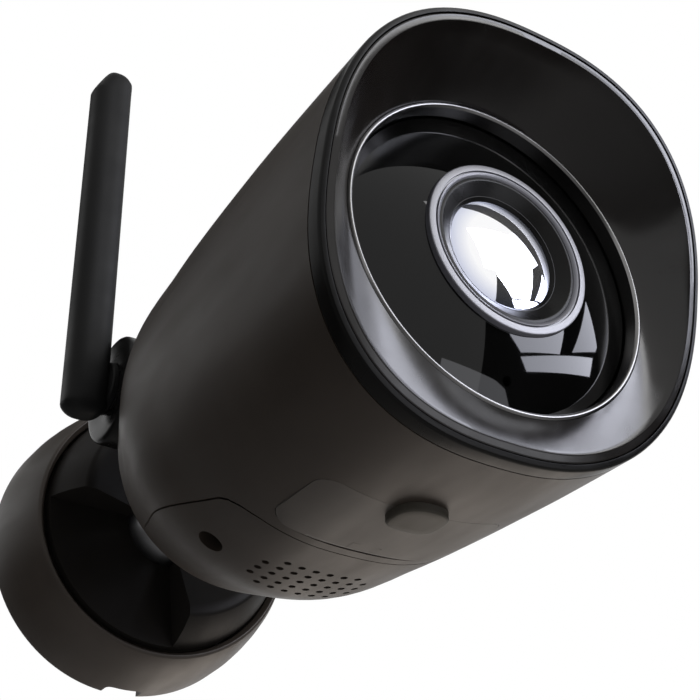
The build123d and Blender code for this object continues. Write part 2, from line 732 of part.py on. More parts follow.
def cup_screws():
    """Screws that hold the cup on the wall plate."""
    screws = Part()
    for degrees in CUP_SCREW_ANGLES:
        x, z = polar(CUP_SCREW_RING, degrees)
        screws += rod_y(1.5, (FLOOR_STATION + 0.1, 152.0), x, z)
        screws += rod_y(2.6, (FLOOR_STATION + 0.1, FLOOR_STATION + 1.6), x, z)
    return screws


def wall_plate():
    """Round plate that screws to the wall."""
    plate = rod_y(32.8, (PLATE_FRONT, RING_OUT)) - rod_y(7.0, (140.0, 160.0))
    for degrees in WALL_SCREW_ANGLES:
        x, z = polar(WALL_SCREW_PCD / 2, degrees)
        plate -= rod_y(WALL_SCREW_RADIUS, (140.0, 160.0), x, z)
    for degrees in CUP_SCREW_ANGLES:
        x, z = polar(CUP_SCREW_RING, degrees)
        plate += rod_y(3.2, (FLOOR_STATION + FLOOR_THICK + SNUG, PLATE_FRONT), x, z)
        plate -= rod_y(1.55, (140.0, 152.1), x, z)
    half = CABLE_NOTCH_WIDTH / 2
    return plate - block((-half, half), (140.0, 160.0), (-45.0, -25.0))


def build():
    """Makes every node."""
    outer = body_form(0.0)
    cavity = body_form(WALL)
    nodes = {
        "main_shell": main_shell(outer, cavity),
        "tail_cover": tail_cover(outer, cavity),
        "tail_seal": tail_seal(cavity),
        "front_trim_ring": front_trim_ring(),
        "bezel_funnel": bezel_funnel(),
        "card_door": card_door(outer, cavity),
        "door_seal": door_seal(cavity),
        "door_tab": door_tab(outer),
    }
    for maker in (
        bezel_ring, dome_window, lens_ring, lens_hood, front_lens, lens_barrel, rear_lens, lens_holder,
        ir_cut_housing, ir_filter_slider, image_sensor, sensor_board, led_board, infrared_leds, dome_gasket,
        front_frame, microphone, chassis_frame, main_board, board_screws, heat_sink, speaker, speaker_gasket,
        card_bay, card_socket, card_board, reset_button, reset_switch, door_hinge_pin, antenna_hub,
        antenna_paddle, antenna_element, antenna_coax, antenna_clip, antenna_seal, threaded_insert,
        cable_grommet, tail_screws, ball_stud, lock_ring, socket_dome, socket_seat, socket_screws,
        swivel_retainer, friction_washer, base_cup, cup_screws, wall_plate,
    ):
        nodes[maker.__name__] = maker()
    return nodes


def main():
    """Writes one file for each node."""
    os.makedirs("parts", exist_ok=True)
    for name, shape in build().items():
        export_step(shape, f"parts/{name}.step")


if __name__ == "__main__":
    main()
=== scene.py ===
"""Dressed model of a wall-mounted security camera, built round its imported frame."""

import json
import logging
import math
from dataclasses import dataclass, field
from enum import Enum
from typing import Callable, Optional, Sequence

import bmesh
import bpy
from mathutils import Matrix, Vector


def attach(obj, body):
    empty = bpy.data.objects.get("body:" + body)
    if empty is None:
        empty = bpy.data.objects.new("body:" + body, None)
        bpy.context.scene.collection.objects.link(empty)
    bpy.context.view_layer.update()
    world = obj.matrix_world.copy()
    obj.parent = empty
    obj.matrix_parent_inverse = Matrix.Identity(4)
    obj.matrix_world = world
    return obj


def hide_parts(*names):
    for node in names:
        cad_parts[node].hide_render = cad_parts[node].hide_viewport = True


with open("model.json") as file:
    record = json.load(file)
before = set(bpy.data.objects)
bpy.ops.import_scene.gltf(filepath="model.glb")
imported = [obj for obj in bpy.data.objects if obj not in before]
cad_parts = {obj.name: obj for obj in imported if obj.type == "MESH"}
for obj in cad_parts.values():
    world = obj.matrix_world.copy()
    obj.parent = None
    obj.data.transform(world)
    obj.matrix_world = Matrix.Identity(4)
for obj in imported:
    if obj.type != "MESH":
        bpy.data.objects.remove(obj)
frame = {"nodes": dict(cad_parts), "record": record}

MM = 0.001
# Distance of the bright ring's plane from the wall, in millimetres
RING_OUT = 153.0
WELD = 2e-6
SHARP = math.radians(28.0)
TURN = 2 * math.pi
FORWARD = Vector((0.0, 1.0, 0.0))
ACROSS = Vector((1.0, 0.0, 0.0))
BLACK = (0.0, 0.0, 0.0)
WHITE = (1.0, 1.0, 1.0)

# Sizes in millimetres that several pieces share
HALF_WIDTH = 38.5
HALF_HEIGHT = 37.2
POWER = 2.42
RIM = -6.7
SLANT = 0.24
HUB_STATION = 92.0
HUB_HEIGHT = 9.0
BOSS_FACE = -31.3

Mesh = bmesh.types.BMesh
Socket = bpy.types.NodeSocket
Ring = Callable[[float], Vector]
Colour = tuple[float, float, float]
Corner = tuple[float, float, float]

log = logging.getLogger("camera")


class Body(Enum):
    """Moving bodies that the pieces ride on."""

    CAMERA = "camera"
    DOOR = "card_door"
    ANTENNA = "antenna"
    BALL = "ball_arm"
    SWIVEL = "swivel_socket"
    WALL = "wall_mount"


class Cut(Enum):
    """Ways of joining one closed form to another."""

    TAKE = "DIFFERENCE"
    KEEP = "INTERSECT"
    ADD = "UNION"


def at(station: float) -> float:
    """Y in metres of a station, which is a distance in millimetres behind the bright ring."""
    return (station - RING_OUT) * MM


def spot(x: float, station: float, z: float) -> Vector:
    """Point in metres from X, station and Z in millimetres."""
    return Vector((x * MM, at(station), z * MM))


def clean(form: Mesh) -> Mesh:
    """Merges doubled corners and points the faces outwards.

    Args:
        form: The mesh to clean.

    Returns:
        The same mesh.
    """
    bmesh.ops.remove_doubles(form, verts=form.verts[:], dist=WELD)
    bmesh.ops.recalc_face_normals(form, faces=form.faces[:])
    return form


def round_corner(form: Mesh, vert: bmesh.types.BMVert, radius: float) -> None:
    """Rounds one corner of a flat outline.

    Args:
        form: Mesh that holds the outline.
        vert: Corner to round.
        radius: Distance in millimetres from the corner to the start of the round.
    """
    bmesh.ops.bevel(form, geom=[vert], offset=radius * MM, offset_type="OFFSET", segments=4,
                    profile=0.5, affect="VERTICES", material=-1, clamp_overlap=True)


def tube_of_rings(rings: Sequence[Ring], segments: int = 128, closed: bool = True) -> Mesh:
    """Skin that runs from ring to ring, and back to the first where it is closed.

    Args:
        rings: One function of the angle for each ring.
        segments: Corners round each ring.
        closed: Whether the last ring joins the first.

    Returns:
        The new mesh.
    """
    form = bmesh.new()
    bmesh.ops.create_circle(form, cap_ends=False, segments=segments, radius=1.0)
    first = form.edges[:]
    last = first
    for _ in rings[1:]:
        made = bmesh.ops.extrude_edge_only(form, edges=last)["geom"]
        verts = {item for item in made if isinstance(item, bmesh.types.BMVert)}
        bmesh.ops.translate(form, verts=list(verts), vec=(0.0, 0.0, 1.0))
        last = [item for item in made
                if isinstance(item, bmesh.types.BMEdge) and verts.issuperset(item.verts)]
    if closed:
        bmesh.ops.bridge_loops(form, edges=first + last)
    else:
        bmesh.ops.holes_fill(form, edges=first + last, sides=0)
    for vert in form.verts:
        vert.co = rings[round(vert.co.z)](math.atan2(vert.co.y, vert.co.x))
    return clean(form)


def turned(corners: Sequence[Corner], steps: int = 128, closed: bool = True) -> Mesh:
    """Form turned about the Y axis.

    Args:
        corners: Radius, distance along the axis and corner rounding of each corner, in millimetres.
        steps: Faces round the axis.
        closed: Whether the last corner joins the first. An open outline starts and ends on the axis.

    Returns:
        The new mesh, with distance 0 at the origin.
    """
    form = bmesh.new()
    verts = [form.verts.new((radius * MM, along * MM, 0.0)) for radius, along, _ in corners]
    if closed:
        form.faces.new(verts)
        for vert, corner in zip(verts, corners):
            if corner[2] > 0.0:
                round_corner(form, vert, corner[2])
        bmesh.ops.delete(form, geom=form.faces[:], context="FACES_ONLY")
    else:
        for one, other in zip(verts, verts[1:]):
            form.edges.new((one, other))
    bmesh.ops.spin(form, geom=form.verts[:] + form.edges[:], cent=(0.0, 0.0, 0.0), axis=FORWARD,
                   angle=TURN, steps=steps, use_merge=True)
    return clean(form)


def arc(centre: float, radius: float, start: float, end: float, steps: int) -> list[Corner]:
    """Corners along the front of a ball on the axis.

    Args:
        centre: Place of the ball's centre along the axis.
        radius: Radius of the ball, negative for its rear half.
        start: Distance of the first corner from the axis.
        end: Distance of the last corner from the axis.
        steps: Number of steps between them.

    Returns:
        Corners with no rounding.
    """
    low = math.asin(start / abs(radius))
    high = math.asin(end / abs(radius))
    turns = [low + (high - low) * step / steps for step in range(steps + 1)]
    return [(abs(radius) * math.sin(turn), centre - radius * math.cos(turn), 0.0) for turn in turns]


def slab(outline: Sequence[Vector], push: Vector, rounds: Sequence[float] = ()) -> Mesh:
    """Flat outline pushed out to a solid.

    Args:
        outline: Corners of the outline, in metres.
        push: Way and distance that it is pushed.
        rounds: Rounding of each corner in millimetres, where it has one.

    Returns:
        The new mesh.
    """
    form = bmesh.new()
    verts = [form.verts.new(corner) for corner in outline]
    form.faces.new(verts)
    for vert, radius in zip(verts, rounds):
        if radius > 0.0:
            round_corner(form, vert, radius)
    made = bmesh.ops.extrude_face_region(form, geom=form.faces[:])["geom"]
    moved = [item for item in made if isinstance(item, bmesh.types.BMVert)]
    bmesh.ops.translate(form, verts=moved, vec=push)
    return clean(form)


def stand(form: Mesh, foot: Vector, axis: Vector = FORWARD) -> Mesh:
    """Sets a turned form on a foot point, along an axis.

    Args:
        form: Form turned about Y.
        foot: Where its origin goes.
        axis: Where its Y axis points.

    Returns:
        The same mesh.
    """
    turn = FORWARD.rotation_difference(axis).to_matrix().to_4x4()
    bmesh.ops.transform(form, matrix=Matrix.Translation(foot) @ turn, verts=form.verts[:])
    return form


def rod(radius: float, foot: Vector, axis: Vector, start: float, end: float, sides: int = 32) -> Mesh:
    """Plain round bar, used to cut holes.

    Args:
        radius: Radius in millimetres.
        foot: Point that the lengths are measured from.
        axis: Way of the bar.
        start: Distance to its first end, in millimetres.
        end: Distance to its other end.
        sides: Faces round it.

    Returns:
        The new mesh.
    """
    corners = [(0.0, start, 0.0), (radius, start, 0.0), (radius, end, 0.0), (0.0, end, 0.0)]
    return stand(turned(corners, sides, closed=False), foot, axis)


def lathe(corners: Sequence[Corner], steps: int, closed: bool = True) -> Mesh:
    """Form turned about the camera's long axis, with the corners given by station."""
    return stand(turned(corners, steps, closed), spot(0.0, 0.0, 0.0))


def on_circle(radius: float, degrees: float) -> Vector:
    """Point of a circle round the long axis, at station 0."""
    turn = math.radians(degrees)
    return spot(radius * math.cos(turn), 0.0, radius * math.sin(turn))


def oblong(half: float, near: float, far: float, z: float) -> list[Vector]:
    """Level rectangle about the middle plane, from one station to another."""
    return [spot(-half, near, z), spot(half, near, z), spot(half, far, z), spot(-half, far, z)]


def gather(forms: Sequence[Mesh]) -> Mesh:
    """Puts several forms into one mesh.

    Args:
        forms: The meshes, which are used up.

    Returns:
        The mesh of all of them.
    """
    whole = bmesh.new()
    for form in forms:
        mesh = bpy.data.meshes.new("part")
        form.to_mesh(mesh)
        form.free()
        whole.from_mesh(mesh)
        bpy.data.meshes.remove(mesh)
    return whole


def as_object(form: Mesh, name: str) -> bpy.types.Object:
    """Makes an object of a mesh, which is used up.

    Args:
        form: The mesh.
        name: Name of the object.

    Returns:
        The new object at the origin.
    """
    mesh = bpy.data.meshes.new(name)
    form.to_mesh(mesh)
    form.free()
    item = bpy.data.objects.new(name, mesh)
    bpy.context.scene.collection.objects.link(item)
    return item


def carve(base: Mesh, tool: Mesh, cut: Cut) -> Mesh:
    """Cuts one closed form with another, or joins them.

    Args:
        base: Form to work on, which is used up.
        tool: Form to work with, which is used up.
        cut: What is done with the two.

    Returns:
        The new mesh.
    """
    work = as_object(base, "work")
    blade = as_object(tool, "blade")
    step = work.modifiers.new("cut", "BOOLEAN")
    step.operation = cut.value
    step.solver = "EXACT"
    step.object = blade
    bpy.context.view_layer.update()
    seen = work.evaluated_get(bpy.context.evaluated_depsgraph_get())
    mesh = bpy.data.meshes.new_from_object(seen)
    form = bmesh.new()
    form.from_mesh(mesh)
    for item in (work, blade):
        used = item.data
        bpy.data.objects.remove(item)
        bpy.data.meshes.remove(used)
    bpy.data.meshes.remove(mesh)
    bmesh.ops.remove_doubles(form, verts=form.verts[:], dist=WELD)
    return form


def shade(colour: Colour, factor: float) -> Colour:
    """Colour made lighter or darker by a factor."""
    return (colour[0] * factor, colour[1] * factor, colour[2] * factor)


class NodeSheet:
    """Node tree of one material, with short calls for the nodes that the finishes use."""

    def __init__(self, name: str) -> None:
        """Starts a material with its shader and its object coordinates."""
        self.material = bpy.data.materials.new(name)
        self.material.use_nodes = True
        self.tree = self.material.node_tree
        self.shader = self.tree.nodes["Principled BSDF"]
        self.place = self.tree.nodes.new("ShaderNodeTexCoord").outputs["Object"]

    def fix(self, **values: object) -> None:
        """Sets sockets of the shader, named with _ for each space."""
        for name, value in values.items():
            self.shader.inputs[name.replace("_", " ")].default_value = value

    def feed(self, socket: str, source: Socket) -> None:
        """Links a socket of the shader."""
        self.tree.links.new(source, self.shader.inputs[socket])

    def tint(self, source: Socket, colour: Colour, low: float, high: float,
             start: float = 0.3, end: float = 0.7) -> None:
        """Feeds the base colour with a colour that runs from one factor to another."""
        stops = ((start, shade(colour, low)), (end, shade(colour, high)))
        self.feed("Base Color", self.colours(source, stops))

    def gloss(self, source: Socket, low: float, high: float, start: float = 0.3, end: float = 0.7) -> None:
        """Feeds the roughness with a value that runs from low to high."""
        self.feed("Roughness", self.spread(source, low, high, start, end))

    def noise(self, scale: float, detail: float = 3.0, stretch: Sequence[float] = (1.0, 1.0, 1.0),
              source: Optional[Socket] = None) -> Socket:
        """Noise over the surface.

        Args:
            scale: Spots in a metre.
            detail: Octaves.
            stretch: Scale along each axis.
            source: Coordinates, or the object's own.

        Returns:
            The noise value.
        """
        mapping = self.tree.nodes.new("ShaderNodeMapping")
        mapping.inputs["Scale"].default_value = stretch
        texture = self.tree.nodes.new("ShaderNodeTexNoise")
        texture.inputs["Scale"].default_value = scale
        texture.inputs["Detail"].default_value = detail
        self.tree.links.new(source or self.place, mapping.inputs["Vector"])
        self.tree.links.new(mapping.outputs["Vector"], texture.inputs["Vector"])
        return texture.outputs["Fac"]

    def axis_radius(self) -> Socket:
        """Distance of a point from the camera's long axis, as coordinates."""
        flat = self.tree.nodes.new("ShaderNodeVectorMath")
        flat.operation = "MULTIPLY"
        flat.inputs[1].default_value = (1.0, 0.0, 1.0)
        length = self.tree.nodes.new("ShaderNodeVectorMath")
        length.operation = "LENGTH"
        self.tree.links.new(self.place, flat.inputs[0])
        self.tree.links.new(flat.outputs["Vector"], length.inputs[0])
        return length.outputs["Value"]

    def spread(self, source: Socket, low: float, high: float,
               start: float = 0.3, end: float = 0.7) -> Socket:
        """Maps a value to a range.

        Args:
            source: The value.
            low: Result at the start.
            high: Result at the end.
            start: Value where the range starts.
            end: Value where it ends.

        Returns:
            The mapped value.
        """
        node = self.tree.nodes.new("ShaderNodeMapRange")
        for name, value in (("From Min", start), ("From Max", end), ("To Min", low), ("To Max", high)):
            node.inputs[name].default_value = value
        self.tree.links.new(source, node.inputs["Value"])
        return node.outputs["Result"]

    def colours(self, source: Socket, stops: Sequence[tuple[float, Colour]]) -> Socket:
        """Colour ramp.

        Args:
            source: Value that picks the colour.
            stops: Place and colour of each stop.

        Returns:
            The colour.
        """
        node = self.tree.nodes.new("ShaderNodeValToRGB")
        ramp = node.color_ramp
        while len(ramp.elements) < len(stops):
            ramp.elements.new(0.5)
        for element, (place, colour) in zip(ramp.elements, stops):
            element.position = place
            element.color = (*colour, 1.0)
        self.tree.links.new(source, node.inputs["Fac"])
        return node.outputs["Color"]

    def relief(self, source: Socket, strength: float, depth: float,
               under: Optional[Socket] = None) -> Socket:
        """Bump.

        Args:
            source: Height.
            strength: Share of the effect.
            depth: Depth in millimetres.
            under: Relief that this one lies on.

        Returns:
            The bumped normal.
        """
        node = self.tree.nodes.new("ShaderNodeBump")
        node.inputs["Strength"].default_value = strength
        node.inputs["Distance"].default_value = depth * MM
        self.tree.links.new(source, node.inputs["Height"])
        if under is not None:
            self.tree.links.new(under, node.inputs["Normal"])
        return node.outputs["Normal"]


@dataclass(frozen=True)
class Finish:
    """Base of the finishes: a slot of the record with its colour and gloss."""

    slot: str
    colour: Colour
    roughness: float = 0.45
    specular: float = 0.5

    def make(self) -> bpy.types.Material:
        """Makes the material."""
        sheet = NodeSheet(self.slot)
        sheet.fix(Specular_IOR_Level=self.specular)
        self.paint(sheet)
        return sheet.material

    def paint(self, sheet: NodeSheet) -> None:
        """Links the nodes of the finish, in each kind's own way."""
        sheet.fix(Base_Color=(*self.colour, 1.0), Roughness=self.roughness)


@dataclass(frozen=True)
class MouldedPlastic(Finish):
    """Moulded plastic with a fine spark grain, soft mottling and handling marks."""

    grain: float = 0.22
    depth: float = 0.05
    mottle: float = 0.16
    strength: float = 0.25

    def paint(self, sheet: NodeSheet) -> None:
        """Mottled colour, uneven gloss and a grain in the surface."""
        cloud = sheet.noise(45.0, 4.0)
        speck = sheet.noise(1.0 / (self.grain * MM), 2.0)
        mark = sheet.noise(160.0, 5.0, (1.0, 0.25, 1.0))
        sheet.feed("Base Color", sheet.colours(cloud, (
            (0.3, shade(self.colour, 1.0 - self.mottle)), (0.52, self.colour),
            (0.72, shade(self.colour, 1.0 + self.mottle)))))
        sheet.gloss(mark, self.roughness - 0.05, self.roughness + 0.07)
        fine = sheet.relief(speck, self.strength, self.depth)
        sheet.feed("Normal", sheet.relief(cloud, 0.12, 0.25, fine))


@dataclass(frozen=True)
class GlossPlastic(Finish):
    """Polished plastic with faint wiping marks and a hint of sink in the surface."""

    wave: float = 0.03

    def paint(self, sheet: NodeSheet) -> None:
        """Even dark colour with uneven polish."""
        wipe = sheet.noise(210.0, 6.0, (1.0, 0.3, 1.0))
        sink = sheet.noise(38.0, 1.0)
        sheet.tint(sink, self.colour, 0.85, 1.15)
        sheet.gloss(wipe, self.roughness * 0.8, self.roughness * 1.25)
        sheet.feed("Normal", sheet.relief(sink, 0.15, self.wave))


@dataclass(frozen=True)
class SmokedWindow(Finish):
    """Smoked window, nearly black, with a clear polish and a few smears."""

    def paint(self, sheet: NodeSheet) -> None:
        """Deep colour under a polish that smears dull a little."""
        smear = sheet.noise(60.0, 5.0, (1.0, 1.0, 0.35))
        sheet.tint(smear, self.colour, 0.8, 1.6, end=0.75)
        sheet.gloss(smear, self.roughness, self.roughness + 0.03, 0.45, 0.8)


@dataclass(frozen=True)
class TurnedMetal(Finish):
    """Metal turned on a lathe, with fine rings about the long axis."""

    rings: float = 5200.0
    groove: float = 0.03
    metallic: float = 1.0

    def paint(self, sheet: NodeSheet) -> None:
        """Fine rings in the gloss and the relief, on a slightly uneven colour."""
        sheet.fix(Metallic=self.metallic)
        ring = sheet.noise(self.rings, 2.0, source=sheet.axis_radius())
        cloud = sheet.noise(120.0, 3.0)
        sheet.tint(cloud, self.colour, 0.9, 1.06)
        sheet.gloss(ring, self.roughness * 0.8, self.roughness * 1.25)
        sheet.feed("Normal", sheet.relief(ring, 0.2, self.groove))


@dataclass(frozen=True)
class BrushedMetal(Finish):
    """Sheet or cast metal with brush lines along one axis."""

    stretch: tuple[float, float, float] = (1.0, 0.02, 1.0)

    def paint(self, sheet: NodeSheet) -> None:
        """Long lines in colour, gloss and relief."""
        sheet.fix(Metallic=1.0)
        line = sheet.noise(2600.0, 3.0, self.stretch)
        sheet.tint(line, self.colour, 0.8, 1.1)
        sheet.gloss(line, self.roughness - 0.08, self.roughness + 0.1)
        sheet.feed("Normal", sheet.relief(line, 0.25, 0.04))


@dataclass(frozen=True)
class CoatedLens(Finish):
    """Lens with a bright mirror coating, with a painted reflection gradient that turns it bluish grey towards
    its rim.
    """

    rim_painted_reflection: Colour = (0.62, 0.65, 0.78)
    reach: float = 10.3

    def paint(self, sheet: NodeSheet) -> None:
        """Bright coating, with a painted reflection tint that grows with the distance from the axis."""
        sheet.fix(Metallic=0.92, Coat_Weight=0.6, Coat_Roughness=0.02)
        # Painted reflection: the colour runs from near white to bluish grey towards the lens's rim
        place = sheet.spread(sheet.axis_radius(), 0.0, 1.0, 0.0, self.reach * MM)
        sheet.feed("Base Color", sheet.colours(place, (
            (0.0, self.colour), (0.72, self.colour), (0.98, self.rim_painted_reflection))))
        dust = sheet.noise(900.0, 3.0)
        sheet.gloss(dust, self.roughness, self.roughness + 0.02, 0.5, 0.8)


@dataclass(frozen=True)
class Rubber(Finish):
    """Soft black rubber with a powdery bloom."""

    def paint(self, sheet: NodeSheet) -> None:
        """Dull colour with a bloom and a fine skin."""
        bloom = sheet.noise(140.0, 5.0)
        skin = sheet.noise(3200.0, 2.0)
        sheet.tint(bloom, self.colour, 1.0, 1.7, 0.35, 0.75)
        sheet.gloss(bloom, self.roughness - 0.06, self.roughness + 0.08)
        sheet.feed("Normal", sheet.relief(skin, 0.3, 0.05))


@dataclass(frozen=True)
class CircuitBoard(Finish):
    """Green board with tracks under its lacquer."""

    track: Colour = (0.05, 0.16, 0.06)

    def paint(self, sheet: NodeSheet) -> None:
        """Straight tracks in the colour and the relief."""
        brick = sheet.tree.nodes.new("ShaderNodeTexBrick")
        brick.inputs["Scale"].default_value = 260.0
        brick.inputs["Mortar Size"].default_value = 0.06
        brick.inputs["Color1"].default_value = (*self.colour, 1.0)
        brick.inputs["Color2"].default_value = (*shade(self.colour, 0.8), 1.0)
        brick.inputs["Mortar"].default_value = (*self.track, 1.0)
        sheet.tree.links.new(sheet.place, brick.inputs["Vector"])
        sheet.feed("Base Color", brick.outputs["Color"])
        sheet.gloss(sheet.noise(400.0), self.roughness - 0.05, self.roughness + 0.1)
        sheet.feed("Normal", sheet.relief(brick.outputs["Fac"], 0.3, 0.04))


@dataclass(frozen=True)
class ClearResin(Finish):
    """Clear resin of the LEDs."""

    def paint(self, sheet: NodeSheet) -> None:
        """Clear body with slight unevenness in its polish."""
        sheet.fix(Base_Color=(*self.colour, 1.0), Transmission_Weight=0.85, IOR=1.5)
        sheet.gloss(sheet.noise(700.0), self.roughness, self.roughness + 0.06)


FINISHES: tuple[Finish, ...] = (
    MouldedPlastic("shell_plastic", (0.034, 0.0268, 0.0218), 0.44, 0.16),
    MouldedPlastic("mount_plastic", (0.048, 0.0390, 0.0325), 0.44, 0.2),
    MouldedPlastic("door_plastic", (0.050, 0.0432, 0.038), 0.46, 0.18),
    MouldedPlastic("tab_plastic", (0.050, 0.045, 0.037), 0.5, 0.1, grain=0.3),
    # collar_plastic is a darker, duller copy of mount_plastic: the extra darkness is painted shade for the
    # socket's shadow under the body
    MouldedPlastic("collar_plastic", (0.012, 0.0105, 0.0095), 0.5, 0.08),
    MouldedPlastic("antenna_plastic", (0.0105, 0.0105, 0.0105), 0.5, 0.09),
    GlossPlastic("trim_black", (0.005, 0.0047, 0.0045), 0.3, 0.1),
    GlossPlastic("funnel_black", (0.009, 0.0074, 0.0066), 0.22, 0.36),
    SmokedWindow("dome_smoke", (0.0025, 0.0025, 0.0025), 0.02, 0.22),
    TurnedMetal("bright_ring", (0.17, 0.167, 0.165), 0.22),
    TurnedMetal("lens_ring_grey", (0.155, 0.155, 0.178), 0.34, metallic=0.1),
    CoatedLens("lens_glass", (0.97, 0.97, 0.98), 0.02),
    ClearResin("led_clear", (0.85, 0.85, 0.9), 0.05),
    Rubber("black_rubber", (0.012, 0.012, 0.012), 0.8),
    MouldedPlastic("inner_plastic", (0.022, 0.022, 0.023), 0.55, 0.35),
    MouldedPlastic("chip_black", (0.012, 0.012, 0.013), 0.5, 0.4, grain=0.12),
    CircuitBoard("circuit_green", (0.012, 0.085, 0.03), 0.35),
    TurnedMetal("screw_steel", (0.42, 0.41, 0.40), 0.32),
    BrushedMetal("plate_steel", (0.46, 0.46, 0.46), 0.35),
    TurnedMetal("stud_metal", (0.17, 0.17, 0.175), 0.34),
    BrushedMetal("sink_aluminium", (0.62, 0.62, 0.63), 0.38),
    TurnedMetal("insert_brass", (0.58, 0.40, 0.14), 0.3),
)


class Wardrobe:
    """Materials of all the finishes, and the way that pieces and nodes get them."""

    def __init__(self) -> None:
        """Makes every material once."""
        self.materials = {finish.slot: finish.make() for finish in FINISHES}

    def piece(self, name: str, form: Mesh, slot: str, body: Body, *nodes: str) -> None:
        """Makes a finished piece of a mesh.

        Args:
            name: Name of the piece.
            form: Its mesh, which is used up.
            slot: Its material slot in the record.
            body: Body that it rides on.
            nodes: CAD nodes that it stands for.
        """
        item = as_object(form, name)
        item.data.shade_smooth()
        item.data.set_sharp_from_angle(angle=SHARP)
        item.data.materials.append(self.materials[slot])
        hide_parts(*nodes)
        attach(item, body.value)
        log.info("piece %s: %d faces", name, len(item.data.polygons))

    def dress_nodes(self) -> None:
        """Gives every CAD node that still shows its finish."""
        for part in frame["record"]["subparts"]:
            item = frame["nodes"][part["node"]]
            material = self.materials[part["material_slot"]]
            if item.material_slots:
                for place in item.material_slots:
                    place.material = material
            else:
                item.data.materials.append(material)
            log.info("node %s: %s", part["node"], part["material_slot"])


@dataclass(frozen=True)
class Loop:
    """Squarish closed loop round the axis, in a plane that leans forward at the top."""

    half_width: float
    half_height: float
    power: float
    station: float
    slant: float = 0.0

    def reach(self, angle: float) -> float:
        """Distance of the loop from the axis at an angle."""
        wide = abs(math.cos(angle) / self.half_width) ** self.power
        high = abs(math.sin(angle) / self.half_height) ** self.power
        return (wide + high) ** (-1.0 / self.power)

    def point(self, angle: float) -> Vector:
        """Point of the loop at an angle."""
        reach = self.reach(angle)
        z = reach * math.sin(angle)
        return spot(reach * math.cos(angle), self.station - self.slant * z, z)


def between(loops: Sequence[Loop], share: float) -> Loop:
    """Loop on the smooth run through three loops.

    Args:
        loops: First, middle and last loop.
        share: Place from 0 at the first to 1 at the last.

    Returns:
        The loop at that place.
    """
    first = (share - 0.5) * (share - 1.0) * 2.0
    middle = share * (1.0 - share) * 4.0
    last = share * (share - 0.5) * 2.0
    rows = zip(*((l.half_width, l.half_height, l.power, l.station, l.slant) for l in loops))
    return Loop(*(first * a + middle * b + last * c for a, b, c in rows))


